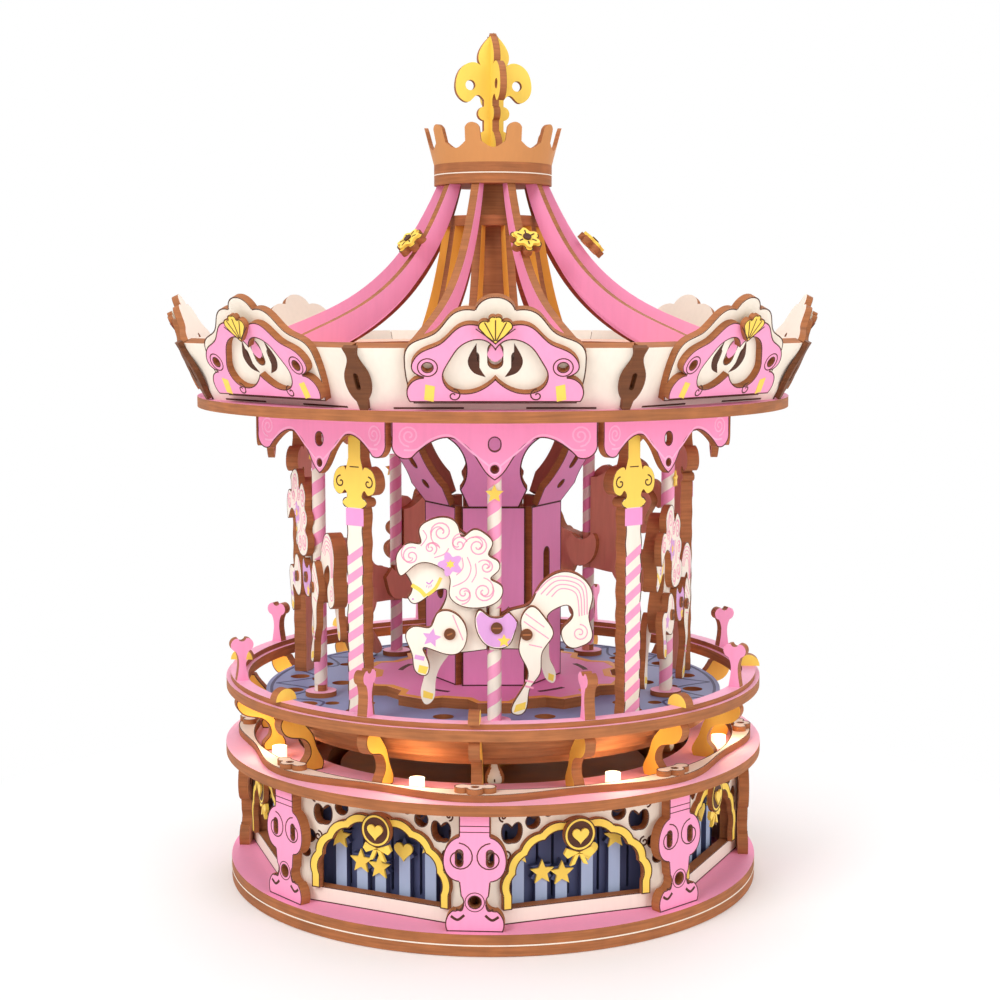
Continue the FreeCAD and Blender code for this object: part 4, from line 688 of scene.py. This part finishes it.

# Platform. The star plinth has a gold zigzag border, and its slots are flat dark marks of painted shade.
# The blue disc's cut-out lattice is dark lines of painted shade. All turn with the column, whose six
# panels and flared brackets are glued to each other.
orchid = ply_material("orchid_print", (240, 156, 208))
slate = ply_material("slate_blue_print", (140, 156, 196))
TURN, HORSES, HORSE_STEP = 4.0, 5, 72
for name, top, place in (("hub_disc", orchid, "bare_ply"), ("platform_under_ring", bare, "bare_ply"),
                         ("platform_disc", slate, "slate_ply"), ("platform_star", orchid, "pink_ply"),
                         ("pole_bushes", pale_pink, "pink_ply")):
    dress(name, upward, top, bare, edge)
COLUMN_SIDES, CAPITAL_TILT, BOLD_LINE = 6, 32.8, 0.4
dress("column_panels", outward(COLUMN_SIDES, TURN), orchid, bare, edge, BOLD_LINE)
flared = outward(COLUMN_SIDES, TURN, CAPITAL_TILT)
dress("capital_brackets", flared, orchid, bare, edge, BOLD_LINE)
STAR_TOP, PLATFORM_TOP = top_of("platform_star"), top_of("platform_disc")
zigzag = []
for k in range(10):
    for share, reach in ((-0.32, 35.2), (-0.18, 39.6), (0.18, 39.6), (0.32, 35.2)):
        at = math.radians(36 * (k + share))
        zigzag.append((reach * math.sin(at), -reach * math.cos(at)))
border = Print().line(zigzag, 2.4, closed=True)
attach(border.place("plinth_border", amber, 0, STAR_TOP, TURN, flat=True), "turntable")
SLOT_CIRCLE = 29
# The slots are drawn as flat dark marks in the burnt-line finish: painted shade where the slot openings look
# dark.
slots = Print()
for k in range(HORSES):
    at = math.radians(HORSE_STEP * k + 36)
    slots.line([(SLOT_CIRCLE * math.sin(at + s * 0.16), -SLOT_CIRCLE * math.cos(at + s * 0.16))
                for s in (-1, -0.5, 0, 0.5, 1)], 1.6)
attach(slots.place("plinth_slot_shade", burnt, 0, STAR_TOP, TURN, flat=True), "turntable")
# The lattice is cut through the blue disc. Its cuts are drawn as dark blue lines on the top: painted shade
# in the cuts.
ARCHES, ARCH_STEP, ARCH_OUT, ARCH_IN = 20, 18, 66.5, 56
lattice = Print()
for k in range(ARCHES):
    a, b = math.radians(ARCH_STEP * k), math.radians(ARCH_STEP * k + ARCH_STEP)
    lattice.line(smooth([(reach * math.sin(at), -reach * math.cos(at))
                         for reach, at in ((ARCH_OUT, a), (ARCH_IN, (a + b) / 2), (ARCH_OUT, b))]), 0.8)
lattice.line(arc(0, 0, 67.6, 0, 357, 120), 0.9, closed=True)
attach(lattice.place("platform_lattice_cut_shade", night, 0, PLATFORM_TOP, TURN, flat=True), "turntable")

# Posts. The shaft of each post is printed as a barley twist, pink on cream, under an orchid band, and
# the fleur head is gold with burnt curls. The back layer is bare ply, glued to the front one.
POST_TURN = TURN + 36
dress("posts_front", outward(HORSES, POST_TURN), cream, bare, edge, CUT_LINE)
dress("posts_back", outward(HORSES, POST_TURN), bare, bare, edge)
POST_FACE, POST_HALF, FLEUR = 65.0, 2.7, 117.0
twist = Print()
low, pitch = PLATFORM_TOP + 1.0, 5.4
while low + 6.2 < FLEUR - 6:
    twist.fill([(-POST_HALF, low), (POST_HALF, low + 3.4), (POST_HALF, low + 6.0), (-POST_HALF, low + 2.6)])
    low += pitch
set_round(twist.place("post_twists", pink, POST_FACE, turn=POST_TURN), HORSES, "turntable")
BAND_HALF = POST_HALF + 0.4
bands = Print().fill([(-BAND_HALF, FLEUR - 5.0), (BAND_HALF, FLEUR - 5.0),
                      (BAND_HALF, FLEUR - 0.2), (-BAND_HALF, FLEUR - 0.2)])
set_round(bands.place("post_bands", orchid, POST_FACE, turn=POST_TURN), HORSES, "turntable")
head = Print()
FLEUR_HALF, FLEUR_TALL, NECK_HALF, NECK_TOP = 7.4, 17.0, 2.1, 142.3
FLEUR_SHARES = ((0.36, 0.0), (0.576, 0.08), (0.36, 0.16), (0.36, 0.23), (0.48, 0.28), (0.66, 0.21),
                (0.93, 0.27), (1.0, 0.44), (0.84, 0.6), (0.52, 0.66), (0.414, 0.6))
right_side = smooth([(FLEUR_HALF * x, FLEUR + FLEUR_TALL * y) for x, y in FLEUR_SHARES])
right_side += [(NECK_HALF, FLEUR + 13.6), (NECK_HALF, NECK_TOP)]
head.fill(right_side + [(-x, y) for x, y in reversed(right_side)])
set_round(head.place("post_fleurs", gold, POST_FACE + 0.02, turn=POST_TURN), HORSES, "turntable")
curls = Print()
for side in (-1, 1):
    curls.line(curl(side * 4.9, FLEUR + 6.9, 1.8, 90, -1.1 * side, 18), 0.4, thick=0.1)
curls.line([(-1.6, FLEUR + 11.2), (1.6, FLEUR + 11.2)], 0.3, thick=0.1)
set_round(curls.place("post_fleur_curls", burnt, POST_FACE + 0.02, turn=POST_TURN), HORSES, "turntable")

# Valance. Each pink plate has pale scroll lines, a curl at each end and a wave over its arches. The
# plates hang from the canopy disc.
dress("canopy_disc", upward, pink, pink, edge)
dress("valance_panels", outward(SIDES, TURN), pink, bare, edge, CUT_LINE)
VALANCE_FACE, CANOPY = 68.0, foot_of("canopy_disc")
scroll = Print()
for side in (-1, 1):
    wave = [(side * x, CANOPY - y) for x, y in ((1.5, 12.6), (6, 9.0), (11.5, 4.6), (16.5, 5.4),
                                                (20.5, 8.2), (24, 8.4))]
    scroll.line(smooth(wave), 0.5)
    scroll.line(curl(side * 22.6, CANOPY - 4.6, 2.9, 270, 2.0 * side), 0.45)
scroll.line(arc(0, CANOPY - 13.4, 1.6, 0, 350, 20), 0.4, closed=True)
set_round(scroll.place("valance_scrolls", pale_pink, VALANCE_FACE, turn=TURN), SIDES, "turntable")

# Canopy boards. Thin burnt lines mark the feet of the boards, a pink drop hangs between two dark leaves,
# gold clasps hold the pink scrolls, and the shells have burnt ribs. The layers are glued on each other
# and lean out on the disc.
dark_edge = ply_material("dark_scorched_edge", (112, 66, 38), edge_group, bump=0.3)
BOARD_TILT, BOARD_FOOT, BOARD_PLY, CREST_HEIGHT = 26.0, 77.0, 3.0, 32.0
leaning = outward(SIDES, TURN, BOARD_TILT)
dress("canopy_panels", leaning, cream, cream, edge)
dress("crest_plates", leaning, cream, cream, edge, CUT_LINE)
dress("crest_overlays", leaning, pink, cream, edge, CUT_LINE)
dress("crest_shells", leaning, gold, cream, edge, CUT_LINE)
finish_all(("joint_battens",), dark_edge)


def board_layer(order):
    """Foot radius and height of the layer whose face is this far out from the boards' back."""
    lean = math.radians(BOARD_TILT)
    return (BOARD_FOOT + order * math.cos(lean),
            top_of("canopy_disc") + BOARD_PLY * math.sin(lean) - order * math.sin(lean))


out, lift = board_layer(5.0)
leaves = Print()
for side in (-1, 1):
    outer = smooth([(side * x, y) for x, y in ((2.4, 10.6), (5.6, 12.0), (6.9, 15.4), (4.7, 20.2))])
    inner = smooth([(side * x, y) for x, y in ((4.7, 20.2), (4.6, 16.4), (4.0, 13.4), (2.4, 10.6))])
    leaves.fill(outer + inner[1:-1])
set_round(leaves.place("crest_leaves", burnt, out, lift, TURN, BOARD_TILT), SIDES, "turntable")
drop_line = smooth([(0, 21.6), (1.5, 18.6), (1.9, 16.6), (0, 15.0), (-1.9, 16.6), (-1.5, 18.6), (0, 21.6)])
drop = Print().fill(drop_line[:-1])
set_round(drop.place("crest_drops", pink, out, lift, TURN, BOARD_TILT), SIDES, "turntable")
out, lift = board_layer(7.0)
clasps = Print()
for side in (-1, 1):
    clasps.fill([(side * 15.6, 4.6), (side * 18.0, 5.2), (side * 17.6, 9.6), (side * 15.2, 9.0)])
set_round(clasps.place("crest_clasps", gold, out, lift, TURN, BOARD_TILT), SIDES, "turntable")
rims = Print()
for side in (-1, 1):
    rims.line(arc(side * 17.0, 14.4, 2.5, 0, 350, 22), 0.3, closed=True)
    rims.line(curl(side * 10.5, 6.4, 1.9, 90, 1.2 * side, 16), 0.35)
set_round(rims.place("crest_scroll_lines", burnt, out, lift, TURN, BOARD_TILT), SIDES, "turntable")
out, lift = board_layer(8.5)
ribs = Print()
SHELL_FOOT = CREST_HEIGHT * 0.78 - 2.8
for lean in (-52, -26, 0, 26, 52):
    a = math.radians(lean)
    ribs.line([(reach * math.sin(a), SHELL_FOOT + reach * math.cos(a)) for reach in (0.5, 6.2)], 0.28)
set_round(ribs.place("shell_ribs", burnt, out, lift, TURN, BOARD_TILT), SIDES, "turntable")
out, lift = board_layer(3.0)
feet = Print()
for side in (-1, 1):
    feet.line([(side * 8, 0.5), (side * 26, 0.5)], 0.5)
set_round(feet.place("board_foot_lines", burnt, out, lift, TURN, BOARD_TILT), SIDES, "turntable")

# Roof. Pink ribs rise from the rim ring to the crown, with amber ribs and the mast inside, and a flower
# of two layers with a brown eye sits on every other rib.
dress("rim_ring", upward, bare, bare, edge)
dress("rib_collar", upward, edge, edge, edge)
RIBS, RIB_TURN = 10, TURN + 18
dress("roof_ribs", sideways(RIBS, RIB_TURN), pink, pink, edge)
dress("inner_ribs", sideways(RIBS, RIB_TURN), amber, amber, edge)
FLOWER_OUT, FLOWER_Z, FLOWER_LEAN = 28.43, 189.0, 45
dress("rib_flowers", outward(HORSES, RIB_TURN, -FLOWER_LEAN), gold, gold, edge, CUT_LINE)
finish_all(("mast",), edge)


def flower_points(x, y, radius, petals, depth=0.3):
    return [(x + radius * (1 - depth * (0.5 + 0.5 * math.cos(petals * a))) * math.cos(a),
             y + radius * (1 - depth * (0.5 + 0.5 * math.cos(petals * a))) * math.sin(a))
            for a in (math.tau * k / (petals * 8) for k in range(petals * 8))]


def set_on_flowers(drawn, name, material, height):
    """A print at a height over the foot of each flower, square to it."""
    lean = math.radians(FLOWER_LEAN)
    piece = drawn.place(name, material, FLOWER_OUT + height * math.cos(lean),
                        FLOWER_Z + height * math.sin(lean), RIB_TURN, -FLOWER_LEAN)
    set_round(piece, HORSES, "turntable")


bloom = Print().fill(flower_points(0, 0, 4.0, 6), 0.9)
set_on_flowers(bloom, "flower_tops", gold, 2.0)
middle = Print().fill(arc(0, 0, 1.2, 0, 345, 18), 0.5)
for k in range(6):
    a = math.radians(60 * k)
    middle.line([(reach * math.sin(a), reach * math.cos(a)) for reach in (1.6, 2.9)], 0.4, thick=0.1)
set_on_flowers(middle, "flower_eyes", burnt, 2.9)

# Crown. A band of copper card with ten round knobs stands on the crown ring, which is bare ply and sits
# on the mast. It goes round two crossed fleur plates of gold printed ply.
copper = ply_material("copper_card", (208, 146, 88))
dress("crown_ring", upward, edge, edge, edge)
CROWN_LOBES, CROWN_WALL, KNOB = 10, 1.2, 2.5
CROWN_LOW, CROWN_HIGH = foot_of("crown_band"), top_of("crown_band")
CROWN_FOOT_R, CROWN_HEAD_R = 17.5, 20.4
BAND_TALL, DIP_DEPTH, DIP_HALF = 5.4, 1.4, 6.4


def crown_outline(steps):
    """Top edge of the unrolled band: a knob on a neck for each lobe and a dip between them."""
    edge_points = []
    for k in range(steps):
        place = (k / steps * CROWN_LOBES) % 1.0
        away = abs(place - 0.5) * math.tau * CROWN_HEAD_R / CROWN_LOBES
        rise = math.sqrt(max(KNOB ** 2 - away ** 2, 0.0))
        dip = DIP_DEPTH * math.cos(math.pi * min(away / DIP_HALF, 1.0))
        on_knob = away < KNOB * 0.96
        edge_points.append(CROWN_HIGH - KNOB + rise if on_knob else CROWN_LOW + BAND_TALL + dip)
    return edge_points


def crown_mesh():
    mesh = bmesh.new()
    steps = 400
    tops = crown_outline(steps)
    rings = []
    for k in range(steps):
        angle = math.tau * k / steps
        ring = []
        for z, inset in ((CROWN_LOW, 0), (tops[k], 0), (tops[k], CROWN_WALL), (CROWN_LOW, CROWN_WALL)):
            share = (z - CROWN_LOW) / (CROWN_HIGH - CROWN_LOW)
            radius = CROWN_FOOT_R + (CROWN_HEAD_R - CROWN_FOOT_R) * share - inset
            ring.append(mesh.verts.new((radius * math.sin(angle), -radius * math.cos(angle), z)))
        rings.append(ring)
    for k in range(steps):
        a, b = rings[k], rings[(k + 1) % steps]
        for j in range(4):
            face = mesh.faces.new((a[j], b[j], b[(j + 1) % 4], a[(j + 1) % 4]))
            face.material_index = 1 if j == 1 else 0
    bmesh.ops.recalc_face_normals(mesh, faces=mesh.faces)
    data = bpy.data.meshes.new("crown_of_knobs")
    mesh.to_mesh(data)
    mesh.free()
    data.transform(Matrix.Scale(MM, 4) @ Matrix.Rotation(math.radians(TURN), 4, "Z"))
    for material in (copper, edge):
        data.materials.append(material)
    piece = bpy.data.objects.new(data.name, data)
    scene.collection.objects.link(piece)
    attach(piece, "turntable")
    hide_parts("crown_band")


crown_mesh()
CROWN_RING_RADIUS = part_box("crown_ring")[1].x / MM
# A pale band of painted highlight along the seam of the crown ring's plies.
seam_highlight_line("crown_seam_highlight", CROWN_RING_RADIUS + 0.04, foot_of("crown_ring") + 2.85, 0.3, "turntable")
TOP_TURN = TURN + 15.0


def cross_way(centre):
    """Which way the nearer of the two crossed fleur plates faces."""
    angle = math.radians(TOP_TURN)
    along = Vector((math.cos(angle), math.sin(angle), 0))
    across = Vector((-math.sin(angle), math.cos(angle), 0))
    flat = Vector((centre.x, centre.y, 0))
    return across if abs(flat.dot(along)) > abs(flat.dot(across)) else along


dress("top_finial", cross_way, gold, gold, edge, BOLD_LINE)

# Horses. Each is a stack of cut layers on a striped pole: cream in front with printed curls, bridle,
# saddle and hooves, and bare birch behind. The print is the same on all five.
blush = ply_material("blush_line_print", (240, 158, 186))
lilac = ply_material("lilac_print", (216, 160, 214))
mauve = ply_material("mauve_print", (206, 142, 204))
HORSE_CIRCLE, SADDLE_Z, LIFT = 54.0, 84.5, 12.0
SHARES = (0.24, 0.24, 0.9, 0.0, 0.9)
CORE_FACE = HORSE_CIRCLE + 1.95
NEAR_FACE = CORE_FACE + 2.0


def horse_print(name, draw, material, face):
    """One print, on each of the five horses."""
    for number, share in enumerate(SHARES):
        drawn = draw(Print())
        piece = drawn.place("horse_%d_%s" % (number + 1, name), material, face,
                            SADDLE_Z + (share - SHARES[0]) * LIFT, TURN + HORSE_STEP * number)
        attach(piece, "horse_%d_body" % (number + 1))


def mane_curls(p):
    for x, y, radius, start, turns in ((-14.4, 26.4, 3.0, 200, -1.7), (-22.6, 19.8, 2.6, 60, 1.6),
                                       (-4.6, 22.4, 2.9, 120, -1.8), (-3.0, 10.0, 2.9, 30, -1.8),
                                       (-9.6, 23.0, 2.3, 20, 1.5), (-8.4, 9.6, 2.3, 200, 1.5),
                                       (-2.2, 16.8, 1.9, 90, -1.5), (-17.4, 22.0, 1.9, 300, 1.4)):
        p.line(curl(x, y, radius, start, turns), 0.36)
        p.line(curl(x, y, radius * 1.34, start + 60, turns * 0.34, 14), 0.3)
    for line in (((-19.4, 27), (-18.4, 25), (-20.0, 22.6)), ((-12.4, 22.0), (-13.6, 20.4), (-16.4, 19.4)),
                 ((-7.4, 19.6), (-6.4, 16.4), (-7.8, 13.2), (-11.4, 11.4)),
                 ((-5.2, 17.8), (-5.0, 15.0), (-6.2, 12.6)),
                 ((-8.8, 19.4), (-8.6, 16.6), (-10.4, 14.6))):
        p.line(smooth(line), 0.3)
    return p


def tail_lines(p):
    for k in range(4):
        r = 4.4 + 1.7 * k
        p.line(smooth([(19.4 - r * 0.86, 7.4 + r * 0.2), (19.6 - r * 0.3, 7.6 + r * 0.66),
                       (20.6 + r * 0.4, 6.6 + r * 0.56), (21.4 + r * 0.42, 2.4 + r * 0.1)]), 0.3)
    p.line(curl(23.4, -1.8, 2.4, 90, -1.6), 0.3)
    return p


def bridle(p):
    p.line(smooth([(-22.6, 11.6), (-20.4, 10.2), (-18.8, 8.4)]), 1.1)
    p.line(smooth([(-18.4, 8.8), (-16.2, 10.6), (-14.6, 13.6)]), 0.9)
    return p


def closed_eye(p):
    p.line(smooth([(-18.6, 12.4), (-17.8, 11.9), (-16.8, 13.0)]), 0.36)
    for x, y in ((-18.4, 11.6), (-17.8, 11.4), (-17.2, 11.7)):
        p.line([(x, y), (x - 0.2, y - 0.7)], 0.2)
    p.fill(arc(-22.3, 7.7, 0.28, 0, 340, 12))
    return p


def head_flower(p):
    return p.fill(flower_points(-12.0, 17.6, 3.5, 5, 0.4), 0.12)


def saddle_cloth(p):
    return p.fill(smooth([(-5.0, 2.6), (-3.7, 4.4), (-1.6, 3.0), (1.6, 2.6), (3.8, 4.0), (6.0, 1.4),
                          (5.0, -2.0), (3.6, -4.6), (0.4, -5.3), (-2.4, -4.2), (-4.4, -1.2)]))


def shoulder_star(p):
    p.fill(star_points(-17.2, -2.7, 2.7, 1.3, 5, 12))
    p.line([(-21.8, -7.9), (-19.2, -8.5)], 1.2)
    return p


def knee_bands(p):
    for y in (-14.6, -16.2):
        p.line([(8.4, y), (10.7, y - 0.5)], 0.5)
    for line in (((8.4, 4.0), (13.6, 0.2)), ((8.0, 1.8), (14.8, -3.0)), ((9.4, -4.6), (13.0, -5.4)),
                 ((-11.4, 3.6), (-8.6, -3.4))):
        p.line(smooth(line), 0.28)
    return p


def hooves(p):
    p.fill([(5.2, -23.6), (8.4, -22.6), (8.6, -20.6), (5.9, -21.4)])
    p.fill([(-21.0, -12.2), (-18.8, -12.8), (-18.1, -10.8), (-20.6, -10.2)])
    return p


def far_hooves(p):
    p.fill([(-19.8, -20.6), (-17.2, -21.2), (-16.9, -19.6), (-19.7, -18.6)])
    return p.fill([(14.9, -15.6), (16.3, -16.2), (16.6, -14.4), (15.0, -13.8)])


def face_of(number):
    """The side that the print of a horse's plates is on."""
    angle = math.radians(TURN + HORSE_STEP * number)
    return lambda centre: Vector((math.sin(angle), -math.cos(angle), 0))


for number in range(HORSES):
    dress("horse_%d" % (number + 1), face_of(number), cream, bare, edge, 0.26,
          HORSE_CIRCLE + 1.92)
horse_print("mane_curls", mane_curls, blush, NEAR_FACE)
horse_print("tail_lines", tail_lines, blush, CORE_FACE)
horse_print("bridle", bridle, gold, CORE_FACE)
horse_print("closed_eye", closed_eye, mauve, CORE_FACE)
horse_print("head_flower", head_flower, lilac, NEAR_FACE)
horse_print("flower_eye", lambda p: p.fill(star_points(-12.0, 17.6, 1.3, 0.7, 6), 0.2), gold, NEAR_FACE)
horse_print("saddle_cloth", saddle_cloth, lilac, NEAR_FACE)
horse_print("saddle_star", lambda p: p.fill(star_points(2.6, -3.6, 1.9, 0.9), 0.14), gold, NEAR_FACE)
horse_print("shoulder_star", shoulder_star, lilac, NEAR_FACE)
horse_print("knee_bands", knee_bands, blush, NEAR_FACE)
horse_print("hooves", hooves, gold, NEAR_FACE)
horse_print("far_hooves", far_hooves, gold, CORE_FACE - 3.9)


def peg_caps(p):
    for x, y in ((-12.2, -1.6), (0.6, 0.0), (8.8, -1.8)):
        p.fill(arc(x, y, 1.62, 0, 350, 22), 0.1)
    return p


horse_print("peg_caps", peg_caps, dark_edge, NEAR_FACE + 0.6)


def peg_slots(p):
    for ends in (((-0.5, 0.0), (1.7, 0.0)), ((7.7, -1.8), (9.9, -1.8)), ((-12.9, -1.9), (-11.5, -1.3))):
        p.line(ends, 0.4)
    return p


horse_print("peg_slots", peg_slots, edge, NEAR_FACE + 0.7)

# Poles. Pink and cream stripes wind up each pole below and above its horse, and a gold star is fixed to
# the front near its top. The wrap is a thin print round the cut pole.
POLE_RADIUS, STRIPE_PITCH, ROUND = 1.96, 7.6, 24
WRAP_FOOT, POLE_TOP, UNDER_SADDLE, OVER_SADDLE = 52.0, 126.0, 6.6, 5.0


def stripe_wrap(number, end, low, high):
    """Thin printed wrap of a pole, whose rows turn with its stripes."""
    mesh = bmesh.new()
    rows = int((high - low) / 0.25)
    rings = []
    for k in range(rows + 1):
        z = low + (high - low) * k / rows
        spin = math.tau * z / STRIPE_PITCH
        rings.append([mesh.verts.new((POLE_RADIUS * math.cos(spin + math.tau * j / ROUND),
                                      POLE_RADIUS * math.sin(spin + math.tau * j / ROUND) - HORSE_CIRCLE, z))
                      for j in range(ROUND)])
    for k in range(rows):
        for j in range(ROUND):
            n = (j + 1) % ROUND
            face = mesh.faces.new((rings[k][j], rings[k][n], rings[k + 1][n], rings[k + 1][j]))
            face.material_index = 0 if j < ROUND // 2 else 1
            face.smooth = True
    mesh.faces.new(list(reversed(rings[0])))
    mesh.faces.new(rings[-1])
    data = bpy.data.meshes.new("pole_%d_%s_stripes" % (number, end))
    mesh.to_mesh(data)
    mesh.free()
    turn = math.radians(TURN + HORSE_STEP * (number - 1))
    data.transform(Matrix.Scale(MM, 4) @ Matrix.Rotation(turn, 4, "Z"))
    for material in (pink, cream):
        data.materials.append(material)
    piece = bpy.data.objects.new(data.name, data)
    scene.collection.objects.link(piece)
    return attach(piece, "horse_%d_body" % number)


for number, share in enumerate(SHARES):
    rise = (share - SHARES[0]) * LIFT
    stripe_wrap(number + 1, "lower", WRAP_FOOT + rise, SADDLE_Z + rise - UNDER_SADDLE)
    stripe_wrap(number + 1, "upper", SADDLE_Z + rise + OVER_SADDLE, POLE_TOP + rise)

POLE_FACE = HORSE_CIRCLE + POLE_RADIUS + 0.02
horse_print("pole_star", lambda p: p.fill(star_points(0.0, 36.6, 2.6, 1.2), 0.5), gold, POLE_FACE)
